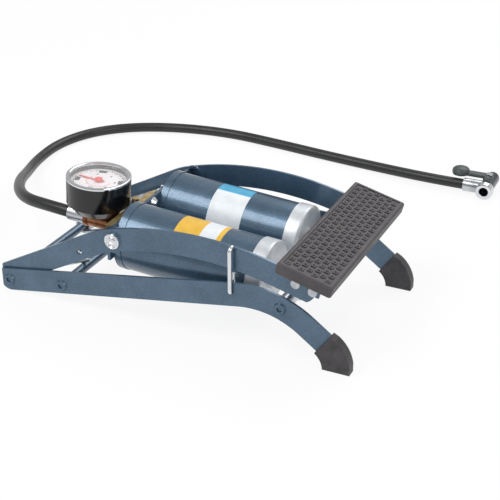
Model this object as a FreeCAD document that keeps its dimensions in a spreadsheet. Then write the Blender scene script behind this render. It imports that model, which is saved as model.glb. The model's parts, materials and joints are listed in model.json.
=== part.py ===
"""Twin barrel foot pump with a pressure gauge and an air hose, closed and latched.

The base is two rails on cross rods. Two arms hinge on the rear rod and carry the
pedal. Two barrels hang on the arms, and their pistons push against the front rod.
Millimetres and degrees. +X points from the rear hinge to the feet, +Z up, and the
origin is on the floor under the middle of the pump.
"""
import FreeCAD
import Part
import Sketcher
import math
import os
import re

SIZES = {
    # base frame
    "base_width": 142.7,
    "rear_pivot_x": -145.7,
    "rail_height": 19.4,
    "rail_thickness": 2.0,
    "rail_slope": 9.5,
    "rail_straight": 210.0,
    "rail_bend_radius": 75.0,
    "rail_bend_turn": 45.5,
    "rail_toe_length": 28.0,
    "rail_tail": 7.0,
    "rod_radius": 4.0,
    "rod_head_radius": 4.9,
    "rod_head_height": 1.6,
    "rod_dimple_radius": 2.2,
    "middle_rod_along": 51.0,
    "middle_rod_drop": 2.6,
    "front_rod_x": 97.2,
    "front_rod_z": 41.3,
    "spacer_wall": 1.6,
    # feet
    "foot_thickness": 8.0,
    "foot_start": 17.8,
    "foot_lip": 0.6,
    "foot_nose": 13.8,
    "foot_nose_height": 6.7,
    "foot_sole_length": 21.6,
    "foot_brow_ahead": 2.0,
    "foot_brow_rise": 12.1,
    "foot_front_radius": 30.0,
    "foot_rear_radius": 16.0,
    # return springs
    "spring_wire_radius": 1.3,
    "spring_clearance": 0.9,
    "spring_pitch": 3.0,
    "spring_full_turns": 5.0,
    "spring_start_y": 40.0,
    "spring_rod_reach": 8.0,
    "spring_hook_bend": 3.0,
    "spring_hole_along": 79.0,
    "spring_hole_drop": 2.0,
    "spring_hole_radius": 2.4,
    # pedal arms
    "arm_thickness": 2.0,
    "arm_height": 18.8,
    "arm_slope": 28.0,
    "arm_rise_over_pivot": 4.7,
    "arm_straight": 97.6,
    "arm_knee_radius": 60.0,
    "arm_knee_turn": 11.0,
    "arm_crown_radius": 260.0,
    "arm_crown_turn": 31.6,
    "arm_tip_length": 30.0,
    "arm_tail": 1.2,
    "arm_throat": 30.0,
    "arm_tip_radius": 12.0,
    "arm_eye_radius": 8.6,
    "side_gap": 0.3,
    # pedal
    "pedal_width": 159.0,
    "pedal_length": 45.0,
    "pedal_thickness": 8.6,
    "pedal_along": 25.3,
    "pedal_edge_radius": 2.0,
    "pedal_border": 3.5,
    "pedal_tread_recess": 0.8,
    "pedal_plate_thickness": 2.0,
    "pedal_plate_inset": 3.5,
    "pedal_flange_drop": 13.0,
    "pedal_flange_half": 12.0,
    "pedal_rivet_spread": 7.0,
    "pedal_rivet_drop": 8.0,
    "rivet_radius": 2.0,
    "rivet_head_radius": 3.6,
    "rivet_head_height": 1.4,
    # latch
    "latch_wire_radius": 1.7,
    "latch_along": 206.3,
    "latch_rise": 2.3,
    "latch_reach": 38.0,
    "latch_tail": 14.0,
    "latch_bend_radius": 3.0,
    "latch_hole_radius": 2.0,
    # barrels
    "barrel_tilt": 4.0,
    "barrel_x": -44.9,
    "barrel_z": 54.0,
    "barrel_spacing": 68.6,
    "barrel_radius": 27.1,
    "barrel_wall": 1.2,
    "barrel_start": 1.5,
    "barrel_length": 116.0,
    "head_start": -4.5,
    "head_spigot": 3.0,
    "head_rim": 0.5,
    "valve_disc_radius": 4.5,
    "valve_disc_thickness": 1.0,
    "valve_pocket_depth": 2.0,
    "cap_length": 12.5,
    "cap_wall": 0.9,
    "cap_face": 3.2,
    "cap_boss_radius": 10.0,
    "cap_boss_height": 2.5,
    "cap_edge_radius": 2.5,
    "guide_radius": 6.5,
    "guide_flange": 1.2,
    "web_thickness": 2.5,
    "web_top": 19.0,
    "web_bottom": 8.0,
    "ear_radius": 10.4,
    "ear_thickness": 2.0,
    "ear_skirt_drop": 0.5,
    "ear_skirt_front": 4.0,
    "pivot_ahead": -0.8,
    "pivot_rise": 11.9,
    "pivot_rivet_radius": 3.0,
    "pivot_play": 5.0,
    "pivot_head_radius": 6.6,
    "pivot_head_crown": 4.0,
    "pivot_head_height": 2.6,
    # pistons
    "piston_rod_radius": 4.5,
    "piston_length": 12.0,
    "piston_start": 10.0,
    "piston_gap": 0.6,
    "seal_width": 4.0,
    "seal_depth": 3.0,
    "seal_gap": 0.1,
    "nut_height": 4.5,
    "nut_across": 11.0,
    "rod_thread_radius": 3.0,
    "eye_outer_radius": 8.6,
    "eye_width": 12.0,
    "running_gap": 0.1,
    # manifold, tee and gauge
    "manifold_depth": 6.0,
    "manifold_top": 18.4,
    "manifold_step": 11.0,
    "manifold_bottom": 7.0,
    "manifold_reach_right": 60.0,
    "manifold_reach_left": 8.0,
    "manifold_low_reach": 46.0,
    "boss_radius": 2.9,
    "boss_side": 19.0,
    "boss_top": 25.0,
    "plug_across": 5.0,
    "plug_length": 5.0,
    "channel_radius": 2.2,
    "port_rise": 4.0,
    "bolt_side": 41.0,
    "bolt_drop": 3.0,
    "bolt_radius": 2.5,
    "bolt_across": 8.0,
    "bolt_head": 3.5,
    "bolt_bite": 4.0,
    "centre_rise": 14.0,
    "dome_radius": 5.0,
    "dome_height": 4.0,
    "tee_side": 28.0,
    "tee_rise": 1.0,
    "tee_setback": 39.0,
    "tee_radius": 6.5,
    "tee_half_length": 11.0,
    "tee_ring_radius": 7.4,
    "tee_ring_length": 3.0,
    "tee_nut_across": 14.0,
    "tee_stem_radius": 5.0,
    "gauge_radius": 26.0,
    "gauge_height": 29.0,
    "gauge_taper": 6.0,
    "gauge_taper_height": 7.0,
    "gauge_bottom_rise": 12.0,
    "gauge_wall": 2.0,
    "bezel_height": 5.0,
    "bezel_lip": 1.0,
    "lens_thickness": 1.5,
    "dial_ledge": 1.5,
    "dial_thickness": 0.8,
    "movement_radius": 9.0,
    "spindle_radius": 0.8,
    "needle_length": 18.0,
    "needle_tail": 5.0,
    "needle_width": 1.2,
    "needle_thickness": 0.6,
    "needle_hub_radius": 3.2,
    "needle_hub_height": 2.0,
    "needle_gap": 0.4,
    # hose and chuck
    "hose_radius": 5.0,
    "hose_bore_radius": 3.0,
    "collar_radius": 6.4,
    "collar_length": 16.0,
    "chuck_axis_ahead": 22.0,
    "chuck_radius": 6.6,
    "chuck_mouth_reach": 11.0,
    "chuck_back_reach": 25.0,
    "chuck_mouth_radius": 7.8,
    "chuck_mouth_length": 9.0,
    "valve_bore_radius": 4.2,
    "valve_bore_depth": 10.0,
    "seal_pocket_radius": 5.2,
    "seal_setback": 0.5,
    "chuck_seal_length": 6.0,
    "chuck_seal_bore": 3.4,
    "lever_pin_back": 9.0,
    "lever_pin_radius": 1.6,
    "lever_pin_head": 3.2,
    "lever_pin_head_height": 1.2,
    "lever_reach": 28.0,
    "lever_width": 8.0,
    "lever_thickness": 3.0,
    "lever_gap": 0.3,
    "lever_pad_radius": 8.0,
    "lever_pad_depth": 4.0,
}

doc = FreeCAD.newDocument("foot_pump")
sheet = doc.addObject("Spreadsheet::Sheet", "sizes")
for row, (alias, size) in enumerate(SIZES.items(), start=1):
    sheet.set("A%d" % row, alias)
    sheet.set("B%d" % row, str(size))
    sheet.setAlias("B%d" % row, alias)
doc.recompute()

PIECES = []


def linked(text):
    """A formula in the sheet's aliases, as other objects of the document read it."""
    return re.sub(r"[a-z_]{4,}", lambda word: "sizes." + word[0] if word[0] in SIZES else word[0], text)


def number(text):
    """The value of a formula now, for the first guess of a sketch or a computed shape."""
    return float(sheet.evalExpression(linked(text)))


def bind(item, prop, text):
    """Ties one property of an object to a formula."""
    item.setExpression(prop, linked(text))


def settle(item, x="0", y="0", z="0", axis=None, angle="0"):
    """Places an object by formulas, turned about one axis."""
    if axis is not None:
        item.Placement = FreeCAD.Placement(FreeCAD.Vector(0, 0, 0), FreeCAD.Rotation(FreeCAD.Vector(*axis),
                                                                                     1))
        bind(item, "Placement.Rotation.Angle", angle)
    bind(item, "Placement.Base.x", x)
    bind(item, "Placement.Base.y", y)
    bind(item, "Placement.Base.z", z)
    return item


TURNED = {"x": FreeCAD.Rotation(FreeCAD.Vector(0, 1, 0), 90),
          "y": FreeCAD.Rotation(FreeCAD.Vector(1, 0, 0), -90), "z": FreeCAD.Rotation()}


def cylinder(name, radius, length, x="0", y="0", z="0", along="x"):
    """A round bar that starts at a point and runs along +X, +Y or +Z."""
    item = doc.addObject("Part::Cylinder", name)
    bind(item, "Radius", radius)
    bind(item, "Height", length)
    item.Placement = FreeCAD.Placement(FreeCAD.Vector(0, 0, 0), TURNED[along])
    return settle(item, x, y, z)


def cone(name, start_radius, end_radius, length, x="0", y="0", z="0", along="x"):
    """A round taper that starts at a point and runs along +X, +Y or +Z."""
    item = doc.addObject("Part::Cone", name)
    bind(item, "Radius1", start_radius)
    bind(item, "Radius2", end_radius)
    bind(item, "Height", length)
    item.Placement = FreeCAD.Placement(FreeCAD.Vector(0, 0, 0), TURNED[along])
    return settle(item, x, y, z)


def hexagon(name, across, length, x="0", y="0", z="0", along="x"):
    """A hexagonal bar, measured across its flats."""
    item = doc.addObject("Part::Prism", name)
    item.Polygon = 6
    bind(item, "Circumradius", "(%s) / sqrt(3)" % across)
    bind(item, "Height", length)
    item.Placement = FreeCAD.Placement(FreeCAD.Vector(0, 0, 0), TURNED[along])
    return settle(item, x, y, z)


def box(name, dx, dy, dz, x="0", y="0", z="0"):
    """A box from its lowest corner."""
    item = doc.addObject("Part::Box", name)
    bind(item, "Length", dx)
    bind(item, "Width", dy)
    bind(item, "Height", dz)
    return settle(item, x, y, z)


def fuse(name, *items):
    """Several objects joined into one solid."""
    item = doc.addObject("Part::MultiFuse", name)
    item.Shapes = list(items)
    return item


def cut(name, base, *tools):
    """An object less its tools."""
    item = doc.addObject("Part::Cut", name)
    item.Base = base
    item.Tool = tools[0] if len(tools) == 1 else fuse(name + "_tools", *tools)
    return item


def rounded(name, base, radius, picks):
    """An object with the edges that a test picks made round."""
    doc.recompute()
    item = doc.addObject("Part::Fillet", name)
    item.Base = base
    size = number(radius)
    item.Edges = [(n, size, size) for n, edge in enumerate(base.Shape.Edges, start=1) if picks(edge)]
    return item


def group(name, *items):
    """Separate solids that share one node."""
    item = doc.addObject("Part::Compound", name)
    item.Links = list(items)
    return item


def keep(item, label):
    """Names an object as a sub-part of the pump."""
    item.Label = label
    PIECES.append(item)
    return item


def step(start, length, angle):
    """The point reached from a start along a direction, as two formulas."""
    return ("(%s) + (%s) * cos(%s)" % (start[0], length, angle),
            "(%s) + (%s) * sin(%s)" % (start[1], length, angle))


def end_at(sketch, edge, spot):
    """Which end of a sketch edge, 1 or 2, lies at a spot."""
    return min((1, 2), key=lambda end: sketch.getPoint(edge, end).distanceToPoint(spot))


def plate(name, corners, thickness, y):
    """A flat plate that stands on edge: its outline in X and Z, padded along +Y.

    A corner is (x, z) or (x, z, radius): with a radius, the edge that leaves the corner
    is an arc, which bulges to the left of its run when the radius starts with a minus.
    """
    body = doc.addObject("PartDesign::Body", name)
    sketch = body.newObject("Sketcher::SketchObject", name + "_outline")
    plane = next(item for item in body.Origin.OriginFeatures if item.Role == "XZ_Plane")
    sketch.AttachmentSupport = [(plane, "")]
    sketch.MapMode = "FlatFace"
    spots = [FreeCAD.Vector(number(corner[0]), number(corner[1]), 0) for corner in corners]
    for n, corner in enumerate(corners):
        start, end = spots[n], spots[(n + 1) % len(spots)]
        if len(corner) == 2:
            sketch.addGeometry(Part.LineSegment(start, end), False)
            continue
        radius = number(corner[2])
        side = math.copysign(1, radius)
        half = (end - start) * 0.5
        rise = abs(radius) - math.sqrt(max(radius * radius - half.Length ** 2, 0))
        left = FreeCAD.Vector(-half.y, half.x, 0).normalize()
        sketch.addGeometry(Part.Arc(start, start + half - left * side * rise, end), False)
    for n, corner in enumerate(corners):
        follower = (n + 1) % len(corners)
        spot = spots[follower]
        joint = (n, end_at(sketch, n, spot), follower, end_at(sketch, follower, spot))
        sketch.addConstraint(Sketcher.Constraint("Coincident", *joint))
    for n, corner in enumerate(corners):
        point = end_at(sketch, n, spots[n])
        for kind, axis, value in (("DistanceX", 0, spots[n].x), ("DistanceY", 1, spots[n].y)):
            index = sketch.addConstraint(Sketcher.Constraint(kind, -1, 1, n, point, value))
            sketch.renameConstraint(index, "%s%d" % (kind, n))
            bind(sketch, "Constraints.%s%d" % (kind, n), corner[axis])
        if len(corner) == 3:
            index = sketch.addConstraint(Sketcher.Constraint("Radius", n, abs(number(corner[2]))))
            sketch.renameConstraint(index, "radius%d" % n)
            bind(sketch, "Constraints.radius%d" % n, "abs(%s)" % corner[2])
    pad = body.newObject("PartDesign::Pad", name + "_pad")
    pad.Profile = sketch
    pad.Reversed = True
    bind(pad, "Length", thickness)
    body.Tip = pad
    return settle(body, "0", y, "0")


def drilled(name, base, radius, spots, y, depth):
    """A plate with round holes along Y at spots in X and Z."""
    tools = [cylinder("%s_hole%d" % (name, n), radius, depth, spot[0], y, spot[1], "y")
             for n, spot in enumerate(spots)]
    return cut(name, base, *tools)


def tube_run(points, radius, bends):
    """A solid along straight runs, with an arc of a given radius at each inner point."""
    edges = []
    start = points[0]
    for before, corner, after, bend in zip(points, points[1:], points[2:], bends):
        back = (before - corner).normalize()
        ahead = (after - corner).normalize()
        half_turn = (math.pi - back.getAngle(ahead)) / 2
        setback = bend * math.tan(half_turn)
        middle = (back + ahead).normalize() * (bend / math.cos(half_turn) - bend)
        arc_start, arc_end = corner + back * setback, corner + ahead * setback
        edges.append(Part.LineSegment(start, arc_start).toShape())
        edges.append(Part.Arc(arc_start, corner + middle, arc_end).toShape())
        start = arc_end
    edges.append(Part.LineSegment(start, points[-1]).toShape())
    section = Part.Circle(points[0], points[1] - points[0], radius)
    return Part.Wire(edges).makePipeShell([Part.Wire([section.toShape()])], True, False)


def feature(name, shape):
    """A computed shape as an object of the document."""
    item = doc.addObject("Part::Feature", name)
    item.Shape = shape
    return item


# Each side of the pump: its name and the sign of its Y.
SIDES = (("right", -1), ("left", 1))


def side_start(sign, inner, thickness):
    """The lowest Y of a plate whose face nearest the middle is at a distance from it."""
    return "%s" % inner if sign > 0 else "-(%s) - (%s)" % (inner, thickness)


# Rails: a band along a sloping line that bends down to the foot.
PIVOT = ("rear_pivot_x", "rail_height / 2")
RAIL_HALF = "rail_height / 2"
RAIL_INNER = "base_width / 2 - rail_thickness"
RAIL_DOWN = "(rail_slope - rail_bend_turn)"
rail_crest = step(PIVOT, "rail_straight", "rail_slope")
rail_bend_centre = step(rail_crest, "rail_bend_radius", "(rail_slope - 90)")
rail_bend_end = step(rail_bend_centre, "rail_bend_radius", "(%s + 90)" % RAIL_DOWN)
rail_toe = step(rail_bend_end, "rail_toe_length", RAIL_DOWN)
middle_rod_foot = step(PIVOT, "middle_rod_along", "rail_slope")
MIDDLE_ROD = step(middle_rod_foot, "middle_rod_drop", "(rail_slope - 90)")
FRONT_ROD = ("front_rod_x", "front_rod_z")
latch_foot = step(PIVOT, "latch_along", "rail_slope")
LATCH = step(latch_foot, "latch_rise", "(rail_slope + 90)")


def rail_corners():
    """The outline of a rail, clockwise from the top of its tail."""
    up, down = "(%s + 90)" % RAIL_DOWN, "(%s - 90)" % RAIL_DOWN
    tail_x = "rear_pivot_x - rail_tail"
    tail_top = "(%s) + (%s) / cos(rail_slope) - rail_tail * tan(rail_slope)" % (PIVOT[1], RAIL_HALF)
    tail_low = "(%s) - sqrt((%s) ^ 2 - rail_tail ^ 2)" % (PIVOT[1], RAIL_HALF)
    return [(tail_x, tail_top),
            step(rail_crest, RAIL_HALF, "(rail_slope + 90)") + ("-(rail_bend_radius + rail_height / 2)",),
            step(rail_bend_end, RAIL_HALF, up), step(rail_toe, RAIL_HALF, up),
            step(rail_toe, RAIL_HALF, down),
            step(rail_bend_end, RAIL_HALF, down) + ("rail_bend_radius - rail_height / 2",),
            step(rail_crest, RAIL_HALF, "(rail_slope - 90)"),
            step(PIVOT, RAIL_HALF, "(rail_slope - 90)") + ("-(rail_height / 2)",), (tail_x, tail_low)]


def make_rails():
    """The two rails of the base, with the holes for the rods and, on the right, the latch."""
    rails = {}
    for side, sign in SIDES:
        y = side_start(sign, RAIL_INNER, "rail_thickness")
        blank = plate("rail_blank_" + side, rail_corners(), "rail_thickness", y)
        rods = drilled("rail_rods_" + side, blank, "rod_radius", [PIVOT, MIDDLE_ROD, FRONT_ROD], y,
                       "rail_thickness")
        if sign < 0:
            rods = drilled("rail_latch", rods, "latch_hole_radius", [LATCH], y, "rail_thickness")
        rails[side] = keep(rods, "base_rail_" + side)
    return rails


def make_cross_rods():
    """The rods that tie the rails: riveted over outside, with a dimple in each head."""
    outer = "base_width / 2"
    for name, spot in (("rear", PIVOT), ("middle", MIDDLE_ROD), ("front", FRONT_ROD)):
        bar = cylinder(name + "_bar", "rod_radius", "base_width", spot[0], "-(%s)" % outer, spot[1], "y")
        heads = []
        dimples = []
        for side, sign in SIDES:
            label = "%s_%s" % (name, side)
            y = outer if sign > 0 else "-(%s) - rod_head_height" % outer
            wide, narrow = "rod_head_radius", "rod_head_radius - rod_head_height / 2"
            radii = (wide, narrow) if sign > 0 else (narrow, wide)
            heads.append(cone(label + "_head", radii[0], radii[1], "rod_head_height", spot[0], y, spot[1],
                              "y"))
            tip = "%s + rod_head_height - rod_dimple_radius / 2" % outer
            y = tip if sign > 0 else "-(%s) - rod_dimple_radius" % tip
            dimples.append(cylinder(label + "_dimple", "rod_dimple_radius", "rod_dimple_radius", spot[0], y,
                                    spot[1], "y"))
        keep(cut(name + "_rod", fuse(name + "_rod_blank", bar, *heads), *dimples), name + "_cross_rod")


def make_front_spacers():
    """Tubes on the front rod that hold the piston rods on their barrels' lines."""
    eye_side = "barrel_spacing / 2"
    middle = "barrel_spacing / 2 - eye_width / 2 - side_gap"
    inner = "%s + eye_width / 2 + side_gap" % eye_side
    runs = [("-(%s)" % middle, "2 * (%s)" % middle), (inner, "%s - (%s)" % (RAIL_INNER, inner)),
            ("-(%s)" % RAIL_INNER, "%s - (%s)" % (RAIL_INNER, inner))]
    tubes = []
    for n, (y, length) in enumerate(runs):
        outside = cylinder("spacer_outside%d" % n, "rod_radius + spacer_wall", length, FRONT_ROD[0], y,
                           FRONT_ROD[1], "y")
        inside = cylinder("spacer_inside%d" % n, "rod_radius", length, FRONT_ROD[0], y, FRONT_ROD[1], "y")
        tubes.append(cut("spacer%d" % n, outside, inside))
    keep(group("spacers", *tubes), "front_rod_spacers")


def make_feet(rails):
    """A moulded foot on each rail's toe, slotted for the rail."""
    start = step(rail_bend_end, "foot_start", RAIL_DOWN)
    nose = "%s + foot_nose" % rail_toe[0]
    brow = ("%s + foot_brow_ahead" % rail_toe[0], "%s + foot_brow_rise" % rail_toe[1])
    corners = [step(start, "rail_height / 2 + foot_lip", "(%s + 90)" % RAIL_DOWN),
               brow + ("-foot_front_radius",), (nose, "foot_nose_height"), (nose, "0"),
               ("%s - foot_sole_length" % nose, "0", "foot_rear_radius"),
               step(start, "rail_height / 2 + foot_lip", "(%s - 90)" % RAIL_DOWN)]
    for side, sign in SIDES:
        inner = "base_width / 2 - rail_thickness / 2 - foot_thickness / 2"
        blank = plate("foot_blank_" + side, corners, "foot_thickness", side_start(sign, inner,
                                                                                  "foot_thickness"))
        keep(cut("foot_" + side, blank, rails[side]), "foot_cap_" + side)


# Arms: a straight shank, a knee, a long crown and a straight tip under the pedal.
ARM_HALF = "arm_height / 2"
ARM_OUTER = "base_width / 2 - rail_thickness - side_gap"
ARM_INNER = "base_width / 2 - rail_thickness - side_gap - arm_thickness"
KNEE_END = "(arm_slope - arm_knee_turn)"
TIP_ANGLE = "(arm_slope - arm_knee_turn - arm_crown_turn)"
arm_root = step(PIVOT, "arm_rise_over_pivot", "(arm_slope + 90)")
arm_knee = step(arm_root, "arm_straight", "arm_slope")
arm_knee_centre = step(arm_knee, "arm_knee_radius", "(arm_slope - 90)")
arm_crown = step(arm_knee_centre, "arm_knee_radius", "(%s + 90)" % KNEE_END)
arm_crown_centre = step(arm_crown, "arm_crown_radius", "(%s - 90)" % KNEE_END)
arm_tip = step(arm_crown_centre, "arm_crown_radius", "(%s + 90)" % TIP_ANGLE)
arm_end = step(arm_tip, "arm_tip_length", TIP_ANGLE)
spring_foot = step(arm_root, "spring_hole_along", "arm_slope")
SPRING_HOLE = step(spring_foot, "spring_hole_drop", "(arm_slope - 90)")
BARREL_PIVOT = ("barrel_x + pivot_ahead * cos(barrel_tilt) + pivot_rise * sin(barrel_tilt)",
                "barrel_z - pivot_ahead * sin(barrel_tilt) + pivot_rise * cos(barrel_tilt)")


def arm_corners():
    """The outline of an arm, clockwise from the top of its tail."""
    tail = step(arm_root, "-arm_tail", "arm_slope")
    throat = step(arm_root, "arm_throat", "arm_slope")
    return [step(tail, ARM_HALF, "(arm_slope + 90)"),
            step(arm_knee, ARM_HALF, "(arm_slope + 90)") + ("-(arm_knee_radius + arm_height / 2)",),
            step(arm_crown, ARM_HALF, "(%s + 90)" % KNEE_END) + ("-(arm_crown_radius + arm_height / 2)",),
            step(arm_tip, ARM_HALF, "(%s + 90)" % TIP_ANGLE),
            step(arm_end, ARM_HALF, "(%s + 90)" % TIP_ANGLE) + ("-arm_tip_radius",),
            step(arm_end, ARM_HALF, "(%s - 90)" % TIP_ANGLE),
            step(arm_tip, ARM_HALF, "(%s - 90)" % TIP_ANGLE) + ("arm_crown_radius - arm_height / 2",),
            step(arm_crown, ARM_HALF, "(%s - 90)" % KNEE_END) + ("arm_knee_radius - arm_height / 2",),
            step(arm_knee, ARM_HALF, "(arm_slope - 90)"), step(throat, ARM_HALF, "(arm_slope - 90)"),
            step(PIVOT, "arm_eye_radius", "(arm_slope - 90)") + ("-arm_eye_radius",),
            step(PIVOT, "arm_eye_radius", "180")]


def pedal_rivet_spots():
    """Where the pedal plate's flanges are riveted to an arm."""
    seat = step(arm_tip, "pedal_along", TIP_ANGLE)
    level = step(seat, "arm_height / 2 - pedal_rivet_drop", "(%s + 90)" % TIP_ANGLE)
    return [step(level, spread, TIP_ANGLE) for spread in ("-pedal_rivet_spread", "pedal_rivet_spread")]


def make_arms():
    """The two arms that carry the pedal and the barrels."""
    for side, sign in SIDES:
        y = side_start(sign, ARM_INNER, "arm_thickness")
        blank = plate("arm_blank_" + side, arm_corners(), "arm_thickness", y)
        arm = drilled("arm_hinge_" + side, blank, "rod_radius + running_gap", [PIVOT], y, "arm_thickness")
        arm = drilled("arm_pivot_" + side, arm, "pivot_rivet_radius", [BARREL_PIVOT], y, "arm_thickness")
        arm = drilled("arm_spring_" + side, arm, "spring_hole_radius", [SPRING_HOLE], y, "arm_thickness")
        arm = drilled("arm_rivets_" + side, arm, "rivet_radius", pedal_rivet_spots(), y, "arm_thickness")
        keep(arm, "arm_" + side)


def make_barrel_pivot_rivets():
    """Shouldered rivets, fixed in the arms, that the barrel block hangs on."""
    rivets = []
    for side, sign in SIDES:
        inner = "%s - side_gap - ear_thickness" % ARM_INNER
        length = "arm_thickness + side_gap + ear_thickness"
        shank = cylinder("pivot_shank_" + side, "pivot_rivet_radius", length, BARREL_PIVOT[0],
                         side_start(sign, inner, length), BARREL_PIVOT[1], "y")
        wide, narrow = "pivot_head_radius", "pivot_head_crown"
        radii = (wide, narrow) if sign > 0 else (narrow, wide)
        dome = cone("pivot_dome_" + side, radii[0], radii[1], "pivot_head_height", BARREL_PIVOT[0],
                    side_start(sign, ARM_OUTER, "pivot_head_height"), BARREL_PIVOT[1], "y")
        rivets.append(fuse("pivot_rivet_" + side, shank, dome))
    keep(group("pivot_rivets", *rivets), "barrel_pivot_rivets")


def ride_pedal(item):
    """Puts a piece made about the pedal's seat on the arms' top edges, along their tips."""
    seat = step(arm_tip, "pedal_along", TIP_ANGLE)
    top = step(seat, ARM_HALF, "(%s + 90)" % TIP_ANGLE)
    return settle(item, top[0], "0", top[1], (0, 1, 0), "-%s" % TIP_ANGLE)


def make_pedal():
    """A pressed plate riveted between the arms, under a moulded tread."""
    inset = "pedal_plate_inset"
    web = box("pedal_web", "pedal_length - 2 * %s" % inset, "pedal_width - 2 * %s" % inset,
              "pedal_plate_thickness", "%s - pedal_length / 2" % inset, "%s - pedal_width / 2" % inset, "0")
    flanges = []
    for side, sign in SIDES:
        inner = "%s - pedal_plate_thickness" % ARM_INNER
        flange = box("pedal_flange_" + side, "2 * pedal_flange_half", "pedal_plate_thickness",
                     "pedal_flange_drop",
                     "-pedal_flange_half", side_start(sign, inner, "pedal_plate_thickness"),
                     "-pedal_flange_drop")
        holes = [cylinder("pedal_hole_%s%d" % (side, n), "rivet_radius", "pedal_plate_thickness", spread,
                          side_start(sign, inner, "pedal_plate_thickness"), "-pedal_rivet_drop", "y")
                 for n, spread in enumerate(("-pedal_rivet_spread", "pedal_rivet_spread"))]
        flanges.append(cut("pedal_flange_drilled_" + side, flange, *holes))
    keep(ride_pedal(fuse("pedal_plate_made", web, *flanges)), "pedal_plate")

    blank = box("tread_blank", "pedal_length", "pedal_width", "pedal_thickness",
                "-pedal_length / 2", "-pedal_width / 2", "0")
    smooth = rounded("tread_rounded", blank, "pedal_edge_radius", lambda edge: edge.BoundBox.ZMax > 1)
    border = "pedal_border"
    recess = box("tread_recess", "pedal_length - 2 * %s" % border, "pedal_width - 2 * %s" % border,
                 "pedal_tread_recess", "%s - pedal_length / 2" % border, "%s - pedal_width / 2" % border,
                 "pedal_thickness - pedal_tread_recess")
    pocket = box("tread_pocket", "pedal_length - 2 * %s" % inset, "pedal_width - 2 * %s" % inset,
                 "pedal_plate_thickness", "%s - pedal_length / 2" % inset, "%s - pedal_width / 2" % inset,
                 "0")
    keep(ride_pedal(cut("tread", smooth, recess, pocket)), "pedal_pad")

    rivets = []
    for side, sign in SIDES:
        inner = "%s - pedal_plate_thickness" % ARM_INNER
        length = "arm_thickness + pedal_plate_thickness"
        for n, spot in enumerate(pedal_rivet_spots()):
            label = "%s%d" % (side, n)
            shank = cylinder("rivet_shank_" + label, "rivet_radius", length, spot[0],
                             side_start(sign, inner, length), spot[1], "y")
            head = cylinder("rivet_head_" + label, "rivet_head_radius", "rivet_head_height", spot[0],
                            side_start(sign, ARM_OUTER, "rivet_head_height"), spot[1], "y")
            tail = cylinder("rivet_tail_" + label, "rivet_head_radius", "rivet_head_height", spot[0],
                            side_start(sign, "%s - rivet_head_height" % inner, "rivet_head_height"),
                            spot[1], "y")
            rivets.append(fuse("rivet_" + label, shank, head, tail))
    keep(group("rivets", *rivets), "pedal_rivets")


def make_return_springs():
    """Torsion springs on the rear rod: one leg on the middle rod, one hooked in the arm."""
    wire = number("spring_wire_radius")
    mean = number("rod_radius + spring_clearance + spring_wire_radius")
    pitch = number("spring_pitch")
    lead = pitch / (2 * math.pi * mean)
    centre = FreeCAD.Vector(number(PIVOT[0]), 0, number(PIVOT[1]))
    rod = FreeCAD.Vector(number(MIDDLE_ROD[0]), 0, number(MIDDLE_ROD[1]))
    over_rod = number("rod_radius + spring_wire_radius")
    gap = rod - centre
    slope = math.atan2(gap.z, gap.x) + math.asin((mean + over_rod) / gap.Length)
    ahead = FreeCAD.Vector(math.cos(slope), 0, math.sin(slope))
    rest = rod + FreeCAD.Vector(-ahead.z, 0, ahead.x) * over_rod + ahead * number("spring_rod_reach")
    hook = FreeCAD.Vector(number(SPRING_HOLE[0]), 0, number(SPRING_HOLE[1]))
    angles = []
    reaches = []
    for target, turn in ((rest, -1), (hook, 1)):
        gap = target - centre
        angles.append(math.atan2(gap.z, gap.x) + turn * math.acos(mean / gap.Length))
        reaches.append(math.sqrt(gap.Length ** 2 - mean ** 2))
    sweep = angles[0] - angles[1] + 2 * math.pi * (number("spring_full_turns") + 1)
    start_y = number("spring_start_y")
    end_y = start_y + lead * mean * sweep
    leaving = [centre + FreeCAD.Vector(math.cos(a), 0, math.sin(a)) * mean for a in angles]
    coil = Part.makeHelix(pitch, end_y - start_y, mean)
    across = FreeCAD.Vector(math.cos(angles[0]), 0, math.sin(angles[0]))
    along = FreeCAD.Vector(0, 1, 0)
    coil.Placement = FreeCAD.Placement(centre + along * start_y, FreeCAD.Rotation(across,
                                                                                  along.cross(across), along))
    first = leaving[0] + along * start_y
    last = leaving[1] + along * end_y
    rest.y = start_y - lead * reaches[0]
    hook.y = end_y + lead * reaches[1]
    bend = number("spring_hook_bend")
    ahead = (hook - last).normalize()
    corner_turn = (math.pi / 2 - math.asin(ahead.y)) / 2
    setback = bend * math.tan(corner_turn)
    inward = (along - ahead).normalize() * (bend / math.cos(corner_turn) - bend)
    arc = Part.Arc(hook - ahead * setback, hook + inward, hook + along * setback)
    tip = FreeCAD.Vector(hook.x, number(ARM_OUTER), hook.z)
    edges = [Part.LineSegment(rest, first).toShape()] + coil.Edges
    edges += [Part.LineSegment(last, hook - ahead * setback).toShape(), arc.toShape(),
              Part.LineSegment(hook + along * setback, tip).toShape()]
    section = Part.Wire([Part.Circle(rest, first - rest, wire).toShape()])
    spring = Part.Wire(Part.__sortEdges__(edges)).makePipeShell([section], True, False)
    mirrored = spring.mirror(FreeCAD.Vector(0, 0, 0), along)
    for (side, sign), shape in zip(SIDES, (mirrored, spring)):
        keep(feature("return_spring_shape_" + side, shape), "return_spring_" + side)


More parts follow.
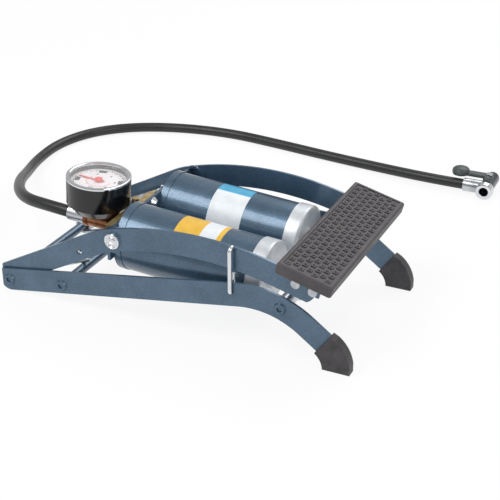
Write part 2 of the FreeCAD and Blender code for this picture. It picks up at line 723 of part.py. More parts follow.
def make_latch():
    """A wire hook through the right rail that holds the arm down when it stands up."""
    wire = number("latch_wire_radius")
    bend = number("latch_bend_radius")
    x, z = number(LATCH[0]), number(LATCH[1])
    outside = -number("base_width / 2 + side_gap + latch_wire_radius")
    inside = -number(RAIL_INNER) + number("side_gap + latch_wire_radius")
    tip = -number("%s + side_gap" % ARM_OUTER)
    top = z + number("latch_reach") - wire
    points = [FreeCAD.Vector(x, inside, z + number("latch_tail")), FreeCAD.Vector(x, inside, z),
              FreeCAD.Vector(x, outside, z), FreeCAD.Vector(x, outside, top), FreeCAD.Vector(x, tip, top)]
    tight = number("latch_wire_radius + 0.1")
    keep(feature("latch_shape", tube_run(points, wire, [tight, tight, bend])), "latch_hook")


def ride_block(item):
    """Puts a piece made about the barrels' axis on the barrel block's tilted line."""
    return settle(item, "barrel_x", "0", "barrel_z", (0, 1, 0), "barrel_tilt")


def block_piece(label, *items):
    """Names a piece of the barrel block, made of one or more separate solids."""
    return keep(ride_block(group(label + "_made", *items)), label)


BORE = "barrel_radius - barrel_wall"
BARREL_END = "barrel_start + barrel_length"


def make_barrels():
    """Each barrel with its head, its rod cap, the guide in the cap and the valve disc."""
    guides = []
    discs = []
    for side, sign in SIDES:
        y = "%d * barrel_spacing / 2" % sign
        outside = cylinder("barrel_outside_" + side, "barrel_radius", "barrel_length", "barrel_start", y)
        inside = cylinder("barrel_inside_" + side, BORE, "barrel_length", "barrel_start", y)
        block_piece("barrel_" + side, cut("barrel_tube_" + side, outside, inside))

        disc = cylinder("head_disc_" + side, "barrel_radius + head_rim", "barrel_start - head_start",
                        "head_start", y)
        spigot = cylinder("head_spigot_" + side, BORE, "head_spigot", "barrel_start", y)
        port = cylinder("head_port_" + side, "channel_radius", "barrel_start - head_start + head_spigot",
                        "head_start", y, "port_rise")
        pocket = cylinder("head_pocket_" + side, "valve_disc_radius + running_gap", "valve_pocket_depth",
                          "head_start", y, "port_rise")
        bolt = cylinder("head_thread_" + side, "bolt_radius", "bolt_bite", "head_start",
                        "%d * bolt_side" % sign, "-bolt_drop")
        blank = fuse("head_blank_" + side, disc, spigot)
        block_piece("barrel_head_" + side, cut("head_" + side, blank, port, pocket, bolt))
        discs.append(cylinder("valve_disc_" + side, "valve_disc_radius", "valve_disc_thickness",
                              "head_start", y, "port_rise"))

        cap_start = "%s + cap_face - cap_length" % BARREL_END
        cup = cylinder("cap_cup_" + side, "barrel_radius + cap_wall", "cap_length", cap_start, y)
        cup = rounded("cap_rounded_" + side, cup, "cap_edge_radius",
                      lambda edge: edge.BoundBox.XMin > number("barrel_length"))
        boss = cylinder("cap_boss_" + side, "cap_boss_radius", "cap_boss_height",
                        "%s + cap_face" % BARREL_END, y)
        seat = cylinder("cap_seat_" + side, "barrel_radius", "cap_length - cap_face", cap_start, y)
        hole = cylinder("cap_hole_" + side, "guide_radius", "cap_face + cap_boss_height", BARREL_END, y)
        block_piece("rod_cap_" + side, cut("cap_" + side, fuse("cap_blank_" + side, cup, boss), seat, hole))

        sleeve = cylinder("guide_sleeve_" + side, "guide_radius", "cap_face + cap_boss_height", BARREL_END,
                          y)
        rim = cylinder("guide_rim_" + side, "guide_radius + guide_flange", "guide_flange",
                       "%s - guide_flange" % BARREL_END, y)
        bore = cylinder("guide_bore_" + side, "piston_rod_radius + running_gap",
                        "guide_flange + cap_face + cap_boss_height", "%s - guide_flange" % BARREL_END, y)
        guides.append(cut("guide_" + side, fuse("guide_blank_" + side, sleeve, rim), bore))
    block_piece("rod_guides", *guides)
    block_piece("valve_discs", *discs)


WEB_START = "head_start - web_thickness"
MANIFOLD_START = "head_start - web_thickness - manifold_depth"
EAR_INNER = "%s - side_gap - ear_thickness" % ARM_INNER


def make_head_bracket():
    """The pressed bracket across both barrel heads, with an ear at each arm."""
    web = box("web", "web_thickness", "2 * (%s)" % ("%s - side_gap" % ARM_INNER), "web_top + web_bottom",
              WEB_START, "-(%s)" % ("%s - side_gap" % ARM_INNER), "-web_bottom")
    parts = [web]
    holes = [cylinder("web_centre_hole", "bolt_radius", "web_thickness", WEB_START, "0", "centre_rise")]
    for side, sign in SIDES:
        y = side_start(sign, EAR_INNER, "ear_thickness")
        parts.append(cylinder("ear_disc_" + side, "ear_radius", "ear_thickness", "pivot_ahead", y,
                              "pivot_rise", "y"))
        parts.append(box("ear_skirt_" + side, "ear_skirt_front - (%s)" % WEB_START, "ear_thickness",
                         "ear_skirt_drop + pivot_rise - ear_radius / 2", WEB_START, y, "-ear_skirt_drop"))
        holes.append(cylinder("ear_hole_" + side, "pivot_rivet_radius + pivot_play", "ear_thickness",
                              "pivot_ahead", y, "pivot_rise", "y"))
        holes.append(cylinder("web_port_" + side, "channel_radius", "web_thickness", WEB_START,
                              "%d * barrel_spacing / 2" % sign, "port_rise"))
        holes.append(cylinder("web_bolt_" + side, "bolt_radius", "web_thickness", WEB_START,
                              "%d * bolt_side" % sign, "-bolt_drop"))
    block_piece("head_bracket", cut("bracket", fuse("bracket_blank", *parts), *holes))


def make_manifold():
    """The brass manifold behind the bracket, its plug, its bolts and the centre screw."""
    upper = box("manifold_upper", "manifold_depth", "manifold_reach_right + manifold_reach_left",
                "manifold_top - manifold_step", MANIFOLD_START, "-manifold_reach_right", "manifold_step")
    lower = box("manifold_lower", "manifold_depth", "2 * manifold_low_reach",
                "manifold_step + manifold_bottom",
                MANIFOLD_START, "-manifold_low_reach", "-manifold_bottom")
    boss = cylinder("manifold_boss", "boss_radius", "boss_top - manifold_step",
                    MANIFOLD_START + " + manifold_depth / 2", "-boss_side", "manifold_step", "z")
    channel = cylinder("manifold_channel", "channel_radius", "barrel_spacing",
                       MANIFOLD_START + " + manifold_depth / 2", "-barrel_spacing / 2", "port_rise", "y")
    holes = [channel,
             cylinder("manifold_inlet", "channel_radius", "manifold_depth", MANIFOLD_START, "-tee_side",
                      "tee_rise"),
             cylinder("manifold_centre_hole", "bolt_radius", "manifold_depth", MANIFOLD_START, "0",
                      "centre_rise")]
    screws = []
    for side, sign in SIDES:
        holes.append(cylinder("manifold_port_" + side, "channel_radius", "manifold_depth / 2",
                              MANIFOLD_START + " + manifold_depth / 2", "%d * barrel_spacing / 2" % sign,
                              "port_rise"))
        y = "%d * bolt_side" % sign
        holes.append(cylinder("manifold_bolt_hole_" + side, "bolt_radius", "manifold_depth",
                              MANIFOLD_START, y, "-bolt_drop"))
        shank = cylinder("bolt_shank_" + side, "bolt_radius", "manifold_depth + web_thickness + bolt_bite",
                         MANIFOLD_START, y, "-bolt_drop")
        head = hexagon("bolt_head_" + side, "bolt_across", "bolt_head", MANIFOLD_START + " - bolt_head", y,
                       "-bolt_drop")
        screws.append(fuse("bolt_" + side, shank, head))
    block_piece("manifold", cut("manifold_cut", fuse("manifold_blank", upper, lower, boss), *holes))
    block_piece("manifold_bolts", *screws)
    block_piece("manifold_plug", hexagon("plug", "plug_across", "plug_length",
                                         MANIFOLD_START + " + manifold_depth / 2",
                                         "manifold_reach_left", "manifold_top - plug_across / 2", "y"))
    shank = cylinder("centre_shank", "bolt_radius", "manifold_depth + web_thickness", MANIFOLD_START, "0",
                     "centre_rise")
    head = hexagon("centre_head", "bolt_across", "bolt_head", MANIFOLD_START + " - bolt_head", "0",
                   "centre_rise")
    flat = cylinder("dome_flat", "dome_radius", "dome_height / 4", "head_start", "0", "centre_rise")
    dome = cone("dome_top", "dome_radius", "dome_radius / 2", "dome_height * 3 / 4",
                "head_start + dome_height / 4", "0", "centre_rise")
    block_piece("centre_bolt", fuse("centre_bolt_made", shank, head, flat, dome))


TEE_X = "-tee_setback"
TEE_REAR = "-tee_setback - tee_half_length"


def make_tee():
    """The brass tee from the manifold to the gauge and the hose, with the hose's collar."""
    run = cylinder("tee_run", "tee_radius", "2 * tee_half_length", TEE_REAR, "-tee_side", "tee_rise")
    ring = cylinder("tee_ring", "tee_ring_radius", "tee_ring_length", TEE_REAR, "-tee_side", "tee_rise")
    nut = hexagon("tee_nut", "tee_nut_across", "%s - (%s + 2 * tee_half_length)" % (MANIFOLD_START,
                                                                                    TEE_REAR),
                  "%s + 2 * tee_half_length" % TEE_REAR, "-tee_side", "tee_rise")
    stem = cylinder("tee_stem", "tee_stem_radius", "gauge_bottom_rise - tee_rise", TEE_X, "-tee_side",
                    "tee_rise", "z")
    air = cylinder("tee_air", "channel_radius", "%s - (%s)" % (MANIFOLD_START, TEE_REAR), TEE_REAR,
                   "-tee_side", "tee_rise")
    riser = cylinder("tee_riser", "channel_radius", "gauge_bottom_rise - tee_rise", TEE_X, "-tee_side",
                     "tee_rise", "z")
    block_piece("brass_tee", cut("tee", fuse("tee_blank", run, ring, nut, stem), air, riser))
    collar = cylinder("collar_outside", "collar_radius", "collar_length", "%s - collar_length" % TEE_REAR,
                      "-tee_side", "tee_rise")
    bore = cylinder("collar_bore", "hose_bore_radius", "collar_length", "%s - collar_length" % TEE_REAR,
                    "-tee_side", "tee_rise")
    block_piece("hose_collar", cut("collar", collar, bore))


GAUGE_BODY_TOP = "gauge_bottom_rise + gauge_height - bezel_height"


def gauge_disc(name, radius, height, z):
    """A round piece on the gauge's own axis."""
    return cylinder(name, radius, height, TEE_X, "-tee_side", z, "z")


def make_gauge():
    """The pressure gauge: case, works, dial, bezel and lens, and the needle on its spindle."""
    taper = cone("case_taper", "gauge_radius - gauge_taper", "gauge_radius", "gauge_taper_height", TEE_X,
                 "-tee_side", "gauge_bottom_rise", "z")
    wall = gauge_disc("case_wall", "gauge_radius", "gauge_height - gauge_taper_height - bezel_height",
                      "gauge_bottom_rise + gauge_taper_height")
    floor = "gauge_bottom_rise + gauge_taper_height"
    room = gauge_disc("case_room", "gauge_radius - gauge_wall - dial_ledge", "%s - (%s)" % (GAUGE_BODY_TOP,
                                                                                            floor), floor)
    ledge = gauge_disc("case_ledge", "gauge_radius - gauge_wall", "dial_thickness",
                       "%s - dial_thickness" % GAUGE_BODY_TOP)
    neck = gauge_disc("case_neck", "channel_radius", "gauge_taper_height", "gauge_bottom_rise")
    block_piece("gauge_case", cut("case", fuse("case_blank", taper, wall), room, ledge, neck))

    works = gauge_disc("works", "movement_radius", "%s - dial_thickness - (%s)" % (GAUGE_BODY_TOP, floor),
                       floor)
    spindle = gauge_disc("spindle", "spindle_radius", "dial_thickness + needle_gap + needle_hub_height / 2",
                         "%s - dial_thickness" % GAUGE_BODY_TOP)
    block_piece("gauge_movement", fuse("movement", works, spindle))

    plate_disc = gauge_disc("dial_disc", "gauge_radius - gauge_wall", "dial_thickness",
                            "%s - dial_thickness" % GAUGE_BODY_TOP)
    eye = gauge_disc("dial_eye", "spindle_radius + running_gap", "dial_thickness",
                     "%s - dial_thickness" % GAUGE_BODY_TOP)
    block_piece("gauge_dial", cut("dial", plate_disc, eye))

    ring = gauge_disc("bezel_ring", "gauge_radius", "bezel_height", GAUGE_BODY_TOP)
    opening = gauge_disc("bezel_opening", "gauge_radius - gauge_wall - bezel_lip", "bezel_height",
                         GAUGE_BODY_TOP)
    seat = gauge_disc("bezel_seat", "gauge_radius - gauge_wall", "lens_thickness",
                      "%s + bezel_height - lens_thickness" % GAUGE_BODY_TOP)
    block_piece("gauge_bezel", cut("bezel", ring, opening, seat))
    block_piece("gauge_lens", gauge_disc("lens", "gauge_radius - gauge_wall", "lens_thickness",
                                         "%s + bezel_height - lens_thickness" % GAUGE_BODY_TOP))

    rise = "%s + needle_gap" % GAUGE_BODY_TOP
    hub = gauge_disc("needle_hub", "needle_hub_radius", "needle_hub_height", rise)
    pointer = box("needle_pointer", "needle_length + needle_tail", "needle_width", "needle_thickness",
                  "-tee_setback - needle_length", "-tee_side - needle_width / 2", rise)
    socket = gauge_disc("needle_socket", "spindle_radius + running_gap", "needle_hub_height / 2", rise)
    block_piece("gauge_needle", cut("needle", fuse("needle_blank", hub, pointer), socket))


EYE_AHEAD = "(front_rod_x - barrel_x) * cos(barrel_tilt) - (front_rod_z - barrel_z) * sin(barrel_tilt)"
EYE_RISE = "(front_rod_x - barrel_x) * sin(barrel_tilt) + (front_rod_z - barrel_z) * cos(barrel_tilt)"


def make_pistons():
    """Each piston with its seal, and the rod whose eye turns on the front rod."""
    nuts = []
    piston_end = "piston_start + piston_length"
    for side, sign in SIDES:
        y = "%d * barrel_spacing / 2" % sign
        disc = cylinder("piston_disc_" + side, "%s - piston_gap" % BORE, "piston_length", "piston_start", y)
        groove_start = "piston_start + piston_length / 2 - seal_width / 2"
        ring = cylinder("groove_ring_" + side, "%s - piston_gap" % BORE, "seal_width", groove_start, y)
        root = cylinder("groove_root_" + side, "%s - piston_gap - seal_depth" % BORE, "seal_width",
                        groove_start, y)
        groove = cut("groove_" + side, ring, root)
        hole = cylinder("piston_hole_" + side, "rod_thread_radius", "piston_length", "piston_start", y)
        block_piece("piston_" + side, cut("piston_body_" + side, disc, groove, hole))

        lip = cylinder("seal_outside_" + side, "%s - seal_gap" % BORE, "seal_width", groove_start, y)
        seat = cylinder("seal_inside_" + side, "%s - piston_gap - seal_depth" % BORE, "seal_width",
                        groove_start, y)
        block_piece("piston_seal_" + side, cut("seal_" + side, lip, seat))

        thread = cylinder("rod_thread_" + side, "rod_thread_radius", "piston_length + nut_height",
                          "piston_start - nut_height", y)
        shank = cylinder("rod_shank_" + side, "piston_rod_radius", "%s - (%s)" % (EYE_AHEAD, piston_end),
                         piston_end, y)
        eye = cylinder("rod_eye_" + side, "eye_outer_radius", "eye_width", EYE_AHEAD,
                       "%s - eye_width / 2" % y, EYE_RISE, "y")
        bore = cylinder("rod_eye_bore_" + side, "rod_radius + running_gap", "eye_width", EYE_AHEAD,
                        "%s - eye_width / 2" % y, EYE_RISE, "y")
        block_piece("piston_rod_" + side, cut("rod_" + side, fuse("rod_blank_" + side, thread, shank, eye),
                                              bore))

        nut = hexagon("nut_blank_" + side, "nut_across", "nut_height", "piston_start - nut_height", y)
        nut_hole = cylinder("nut_hole_" + side, "rod_thread_radius", "nut_height",
                            "piston_start - nut_height", y)
        nuts.append(cut("nut_" + side, nut, nut_hole))
    block_piece("rod_nuts", *nuts)


# The hose leaves its collar, falls to the floor behind the pump and lies along its left
# side. These points are chosen by hand; the first is the collar's end.
HOSE_ROUTE = [(-110.7, -28.0, 59.6), (-133.4, -28.0, 61.2), (-161.0, -19.0, 58.0), (-190.0, 10.0, 49.0),
              (-222.0, 56.0, 34.0), (-254.0, 110.0, 14.0), (-276.0, 158.0, 5.0), (-281.0, 204.0, 5.0),
              (-267.0, 248.0, 5.0), (-233.0, 281.0, 5.0), (-184.0, 301.0, 5.0), (-128.0, 309.0, 5.0),
              (-70.0, 303.0, 5.0), (-12.0, 295.0, 5.0), (46.0, 289.0, 5.0), (104.0, 278.4, 7.8),
              (138.0, 279.0, 7.8)]


def make_hose():
    """The air hose, lying loose, as large arcs between its runs."""
    points = [FreeCAD.Vector(*point) for point in HOSE_ROUTE]
    bends = []
    for before, corner, after in zip(points, points[1:], points[2:]):
        turn = math.pi - (before - corner).getAngle(after - corner)
        shorter = min((before - corner).Length, (after - corner).Length)
        bends.append(0.45 * shorter / math.tan(turn / 2))
    print("hose bend radii:", [round(bend) for bend in bends])
    outside = tube_run(points, number("hose_radius"), bends)
    section = math.pi * number("hose_radius") ** 2
    runs = sum((after - before).Length for before, after in zip(points, points[1:]))
    print("hose volume over section: %.1f mm, runs: %.1f mm" % (outside.Volume / section, runs))
    keep(feature("hose_shape", outside), "air_hose")


def ride_chuck(item):
    """Puts a piece made about the hose's far end there, in line with its last run."""
    end = FreeCAD.Vector(*HOSE_ROUTE[-1])
    run = end - FreeCAD.Vector(*HOSE_ROUTE[-2])
    item.Placement = FreeCAD.Placement(end, FreeCAD.Rotation(FreeCAD.Vector(0, 0, 1), math.degrees(
        math.atan2(run.y, run.x))))
    return item


def chuck_piece(label, *items):
    """Names a piece of the valve chuck, made of one or more separate solids."""
    return keep(ride_chuck(group(label + "_made", *items)), label)


CHUCK_MOUTH = "-chuck_mouth_reach"
LEVER_START = "chuck_radius + lever_gap"


def make_chuck():
    """The chuck on the hose's far end: collar, body, seal, thumb lever and its pin."""
    collar = cylinder("far_collar_outside", "collar_radius", "chuck_axis_ahead", "0")
    body = cylinder("chuck_barrel", "chuck_radius", "chuck_mouth_reach + chuck_back_reach",
                    "chuck_axis_ahead", CHUCK_MOUTH, "0", "y")
    mouth = cylinder("chuck_mouth", "chuck_mouth_radius", "chuck_mouth_length", "chuck_axis_ahead",
                     CHUCK_MOUTH, "0", "y")
    bore = cylinder("chuck_bore", "valve_bore_radius", "valve_bore_depth", "chuck_axis_ahead", CHUCK_MOUTH,
                    "0", "y")
    pin_hole = cylinder("chuck_pin_hole", "lever_pin_radius", "chuck_radius", "chuck_axis_ahead",
                        "lever_pin_back", "0", "z")
    pocket = cylinder("seal_pocket", "seal_pocket_radius", "seal_setback + chuck_seal_length",
                      "chuck_axis_ahead", CHUCK_MOUTH + " + valve_bore_depth", "0", "y")
    solid = fuse("chuck_blank", body, mouth)
    chuck_piece("chuck_body", cut("chuck", solid, bore, pocket, pin_hole))
    trim = cylinder("far_collar_trim", "chuck_radius", "chuck_mouth_reach + chuck_back_reach",
                    "chuck_axis_ahead", CHUCK_MOUTH, "0", "y")
    flare = cylinder("far_collar_flare", "chuck_mouth_radius", "chuck_mouth_length", "chuck_axis_ahead",
                     CHUCK_MOUTH, "0", "y")
    chuck_piece("chuck_collar", cut("far_collar", collar, trim, flare))

    seal_start = CHUCK_MOUTH + " + valve_bore_depth + seal_setback"
    seal = cylinder("chuck_seal_outside", "seal_pocket_radius", "chuck_seal_length", "chuck_axis_ahead",
                    seal_start, "0", "y")
    seal_bore = cylinder("chuck_seal_inside", "chuck_seal_bore", "chuck_seal_length", "chuck_axis_ahead",
                         seal_start, "0", "y")
    chuck_piece("chuck_seal", cut("seal_ring", seal, seal_bore))

    pin = cylinder("pin_shank", "lever_pin_radius", "%s + lever_thickness + lever_gap" % LEVER_START,
                   "chuck_axis_ahead", "lever_pin_back", "0", "z")
    pin_head = cylinder("pin_head", "lever_pin_head", "lever_pin_head_height", "chuck_axis_ahead",
                        "lever_pin_back", "%s + lever_thickness + lever_gap" % LEVER_START, "z")
    chuck_piece("lever_pin", fuse("pin", pin, pin_head))

    bar = box("lever_bar", "lever_reach", "lever_width", "lever_thickness",
              "chuck_axis_ahead - lever_reach", "lever_pin_back - lever_width / 2", LEVER_START)
    hub = cylinder("lever_hub", "lever_width / 2", "lever_thickness", "chuck_axis_ahead", "lever_pin_back",
                   LEVER_START, "z")
    pad = cylinder("lever_pad", "lever_pad_radius", "lever_pad_depth", "chuck_axis_ahead - lever_reach",
                   "lever_pin_back", LEVER_START, "z")
    eye = cylinder("lever_eye", "lever_pin_radius + running_gap", "lever_thickness", "chuck_axis_ahead",
                   "lever_pin_back", LEVER_START, "z")
    chuck_piece("chuck_lever", cut("lever", fuse("lever_blank", bar, hub, pad), eye))


def check_and_export():
    """Stops on any failed object, then writes each piece's shape to its own file."""
    doc.recompute()
    failed = [item.Label for item in doc.Objects if "Invalid" in item.State or "Error" in item.State]
    if failed:
        raise RuntimeError("failed objects: %s" % failed)
    for item in PIECES:
        if item.Shape.isNull() or not item.Shape.isValid() or not item.Shape.Solids:
            raise RuntimeError("bad shape: %s" % item.Label)
    os.makedirs("parts", exist_ok=True)
    for item in PIECES:
        item.Shape.exportStep("parts/%s.step" % item.Label)
    print("%d pieces written" % len(PIECES))


base_rails = make_rails()
make_cross_rods()
make_front_spacers()
make_feet(base_rails)
make_return_springs()
make_latch()
make_arms()
make_barrel_pivot_rivets()
make_pedal()
make_barrels()
make_head_bracket()
make_manifold()
make_tee()
make_gauge()
make_pistons()
make_hose()
make_chuck()
check_and_export()
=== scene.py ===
"""Looks of a twin barrel foot pump with a pressure gauge and an air hose."""

from __future__ import annotations

import json
import logging
import math
from dataclasses import dataclass, field
from enum import Enum

import bmesh
import bpy
from mathutils import Matrix, Vector

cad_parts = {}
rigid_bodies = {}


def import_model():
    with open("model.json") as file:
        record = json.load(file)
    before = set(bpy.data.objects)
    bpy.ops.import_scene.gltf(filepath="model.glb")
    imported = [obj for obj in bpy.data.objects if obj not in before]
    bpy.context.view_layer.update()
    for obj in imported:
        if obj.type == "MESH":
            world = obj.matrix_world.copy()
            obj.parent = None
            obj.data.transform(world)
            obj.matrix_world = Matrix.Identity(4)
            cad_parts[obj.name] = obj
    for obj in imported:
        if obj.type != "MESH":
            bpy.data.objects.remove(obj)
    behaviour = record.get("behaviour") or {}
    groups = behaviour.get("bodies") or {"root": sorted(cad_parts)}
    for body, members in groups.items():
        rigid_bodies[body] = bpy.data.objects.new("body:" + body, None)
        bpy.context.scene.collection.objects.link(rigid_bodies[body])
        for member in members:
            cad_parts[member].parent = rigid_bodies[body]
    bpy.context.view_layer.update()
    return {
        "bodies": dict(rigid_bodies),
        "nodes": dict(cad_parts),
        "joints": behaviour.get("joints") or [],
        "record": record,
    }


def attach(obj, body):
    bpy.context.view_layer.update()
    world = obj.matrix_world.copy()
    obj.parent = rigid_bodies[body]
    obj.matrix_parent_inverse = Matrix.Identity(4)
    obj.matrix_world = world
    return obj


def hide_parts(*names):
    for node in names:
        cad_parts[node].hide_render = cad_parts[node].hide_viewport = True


LOG = logging.getLogger("foot_pump")
MM = 0.001
SMOOTH_ANGLE = math.radians(32.0)

Point = tuple[float, float, float]


class Body(Enum):
    """The bodies of the frame that new pieces ride on."""

    ARMS = "arms"
    BARRELS = "barrels"
    LEVER = "lever"


class Slot(Enum):
    """The record's material slots."""

    BLUE_STEEL = "blue_steel"
    PLATED_STEEL = "plated_steel"
    CHROME = "chrome_trim"
    SILVER_CAP = "silver_cap"
    PISTON = "piston_alloy"
    BRASS = "brass"
    RED_BRASS = "red_brass"
    TREAD = "tread_plastic"
    FOOT = "foot_plastic"
    BLACK_PLASTIC = "black_plastic"
    GREY_PLASTIC = "grey_plastic"
    CLEAR = "clear_plastic"
    DIAL = "dial_white"
    NEEDLE = "needle_red"
    HOSE = "hose_rubber"
    SEAL = "seal_rubber"
    GUIDE = "guide_plastic"


BLOCK_FRAME = Matrix.Translation((-0.0449, 0.0, 0.054)) @ Matrix.Rotation(math.radians(4.0), 4, "Y")
PEDAL_FRAME = Matrix.Translation((0.1173, 0.0, 0.06976)) @ Matrix.Rotation(math.radians(14.6), 4, "Y")
CHUCK_FRAME = Matrix.Translation((0.138, 0.279, 0.0078)) @ Matrix.Rotation(math.radians(1.011), 4, "Z")


# Finishes


def linear(hex_colour: str) -> tuple[float, float, float, float]:
    """Turns an sRGB hex colour to linear light.

    Args:
        hex_colour: Six hex digits, such as "4E6679".

    Returns:
        The colour as linear red, green, blue and an alpha of one.
    """
    channels = [int(hex_colour[i : i + 2], 16) / 255 for i in (0, 2, 4)]
    red, green, blue = (c / 12.92 if c <= 0.04045 else ((c + 0.055) / 1.055) ** 2.4 for c in channels)
    return (red, green, blue, 1.0)


def per_metre(size_mm: float) -> float:
    """The texture scale at which one cell of a pattern is size_mm across."""
    return 1.0 / (size_mm * MM)


def add_node(
    material: bpy.types.Material,
    kind: str,
    settings: dict[str, object] | None = None,
    sockets: dict[str | int, object] | None = None,
) -> bpy.types.Node:
    """Adds a node to a material.

    Args:
        material: The material whose tree gets the node.
        kind: The node's type name.
        settings: Properties of the node by name.
        sockets: Values for its inputs, where another node's output is linked.

    Returns:
        The new node.
    """
    tree = material.node_tree
    node = tree.nodes.new(kind)
    for name, value in (settings or {}).items():
        setattr(node, name, value)
    for name, value in (sockets or {}).items():
        if isinstance(value, bpy.types.NodeSocket):
            tree.links.new(value, node.inputs[name])
        else:
            node.inputs[name].default_value = value
    return node


def set_ramp(ramp: bpy.types.Node, stops: list[tuple[float, str]]) -> None:
    """Sets a colour ramp's stops.

    Args:
        ramp: The colour ramp node.
        stops: Each stop's place from 0 to 1 and its hex colour.
    """
    elements = ramp.color_ramp.elements
    while len(elements) < len(stops):
        elements.new(1.0)
    for element, (place, colour) in zip(elements, stops):
        element.position = place
        element.color = linear(colour)


def tinted(
    material: bpy.types.Material,
    tone: bpy.types.NodeSocket,
    colour: str,
    pattern: bpy.types.NodeSocket,
    span: tuple[float, float],
    most: float,
) -> bpy.types.NodeSocket:
    """Blends a colour over a tone where a pattern is strong.

    Args:
        material: The material.
        tone: The tone underneath.
        colour: Hex colour of the tint.
        pattern: The pattern's value.
        span: Values of the pattern where the tint starts and where it is full.
        most: Share of the tint where it is full.

    Returns:
        The socket that holds the blended colour.
    """
    start, full = span
    share = add_node(
        material,
        "ShaderNodeMapRange",
        sockets={"Value": pattern, "From Min": start, "From Max": full, "To Max": most},
    )
    mix = add_node(
        material,
        "ShaderNodeMix",
        {"data_type": "RGBA"},
        {0: share.outputs["Result"], 6: tone, 7: linear(colour)},
    )
    return mix.outputs[2]


@dataclass(frozen=True)
class Finish:
    """A finish with a tone that drifts, a fine grain and a roughness that varies.

    Attributes:
        name: The material's name.
        dark: Hex colour of its darker patches.
        light: Hex colour of its lighter patches.
        drift_mm: Size of the patches.
        grain_mm: Size of the grain.
        grain_depth: Strength of the grain's bump.
        stretch: How the grain is drawn out along each axis.
        rough_low: Roughness of the smoothest places.
        rough_high: Roughness of the dullest places.
        metallic: Metallic value.
        ior: Index of refraction, left at the default for a metal.
        coat: Weight of a clear coat.
    """

    name: str
    dark: str
    light: str
    drift_mm: float = 14.0
    grain_mm: float = 0.5
    grain_depth: float = 0.1
    stretch: Point = (1.0, 1.0, 1.0)
    rough_low: float = 0.35
    rough_high: float = 0.55
    metallic: float = 0.0
    ior: float = 1.5
    coat: float = 0.0

    def material(self) -> bpy.types.Material:
        """Makes the material.

        Returns:
            The material, with its node tree.
        """
        made = bpy.data.materials.new(self.name)
        made.use_nodes = True
        made.node_tree.nodes.clear()
        place = add_node(made, "ShaderNodeTexCoord").outputs["Object"]
        drawn = add_node(
            made, "ShaderNodeMapping", sockets={"Vector": place, "Scale": self.stretch}
        ).outputs["Vector"]
        patches = add_node(
            made,
            "ShaderNodeTexNoise",
            sockets={"Vector": place, "Scale": per_metre(self.drift_mm), "Detail": 4.0, "Roughness": 0.6},
        )
        tone = add_node(made, "ShaderNodeValToRGB", sockets={"Fac": patches.outputs["Fac"]})
        set_ramp(tone, [(0.3, self.dark), (0.7, self.light)])
        grain = add_node(
            made,
            "ShaderNodeTexNoise",
            sockets={"Vector": drawn, "Scale": per_metre(self.grain_mm), "Detail": 3.0},
        )
        dullness = add_node(
            made,
            "ShaderNodeMapRange",
            sockets={
                "Value": grain.outputs["Fac"],
                "From Min": 0.3,
                "From Max": 0.7,
                "To Min": self.rough_low,
                "To Max": self.rough_high,
            },
        )
        bump = add_node(
            made,
            "ShaderNodeBump",
            sockets={
                "Strength": self.grain_depth,
                "Distance": self.grain_mm * MM * 0.3,
                "Height": grain.outputs["Fac"],
            },
        )
        shader = add_node(
            made,
            "ShaderNodeBsdfPrincipled",
            sockets={
                "Base Color": self.colour(made, place, tone.outputs["Color"]),
                "Metallic": self.metallic,
                "Roughness": dullness.outputs["Result"],
                "IOR": self.ior,
                "Coat Weight": self.coat,
                "Coat Roughness": 0.08,
                "Normal": bump.outputs["Normal"],
            },
        )
        self.finish_shader(made, shader)
        add_node(made, "ShaderNodeOutputMaterial", sockets={"Surface": shader.outputs["BSDF"]})
        return made

    def colour(
        self, made: bpy.types.Material, place: bpy.types.NodeSocket, tone: bpy.types.NodeSocket
    ) -> bpy.types.NodeSocket:
        """The base colour, which a finish with more to it builds on.

        Args:
            made: The material.
            place: The object coordinates.
            tone: The drifting tone.

        Returns:
            The socket that holds the base colour.
        """
        return tone

    def finish_shader(self, made: bpy.types.Material, shader: bpy.types.Node) -> None:
        """Sets what only some finishes have on the shader; a plain one has nothing more."""


@dataclass(frozen=True)
class FlakedEnamel(Finish):
    """Stoved enamel with fine metal flake under a clear skin.

    Attributes:
        flake: Hex colour of the bright flakes.
        flake_mm: Size of a flake, drawn coarser than the real 0.05 mm so that it shows.
        flake_share: How much the flakes colour the enamel.
    """

    flake: str = "9DB2C8"
    flake_mm: float = 0.4
    flake_share: float = 0.16

    def colour(
        self, made: bpy.types.Material, place: bpy.types.NodeSocket, tone: bpy.types.NodeSocket
    ) -> bpy.types.NodeSocket:
        """The enamel's tone with the flakes scattered in it."""
        flakes = add_node(
            made, "ShaderNodeTexVoronoi", sockets={"Vector": place, "Scale": per_metre(self.flake_mm)}
        )
        split = add_node(made, "ShaderNodeSeparateColor", sockets={"Color": flakes.outputs["Color"]})
        return tinted(made, tone, self.flake, split.outputs["Red"], (0.55, 1.0), self.flake_share)


@dataclass(frozen=True)
class TurnedMetal(Finish):
    """A turned or drawn metal with scuffs that show a lighter tone.

    Attributes:
        scuff: Hex colour of the scuffs.
        scuff_mm: Distance between scuffs.
        scuff_share: How much the scuffs lighten the metal.
    """

    scuff: str = "FFFFFF"
    scuff_mm: float = 6.0
    scuff_share: float = 0.35

    def colour(
        self, made: bpy.types.Material, place: bpy.types.NodeSocket, tone: bpy.types.NodeSocket
    ) -> bpy.types.NodeSocket:
        """The metal's tone with thin light scuffs."""
        marks = add_node(
            made,
            "ShaderNodeTexNoise",
            sockets={
                "Vector": place,
                "Scale": per_metre(self.scuff_mm),
                "Detail": 8.0,
                "Roughness": 0.7,
                "Distortion": 1.5,
            },
        )
        return tinted(made, tone, self.scuff, marks.outputs["Fac"], (0.58, 0.68), self.scuff_share)


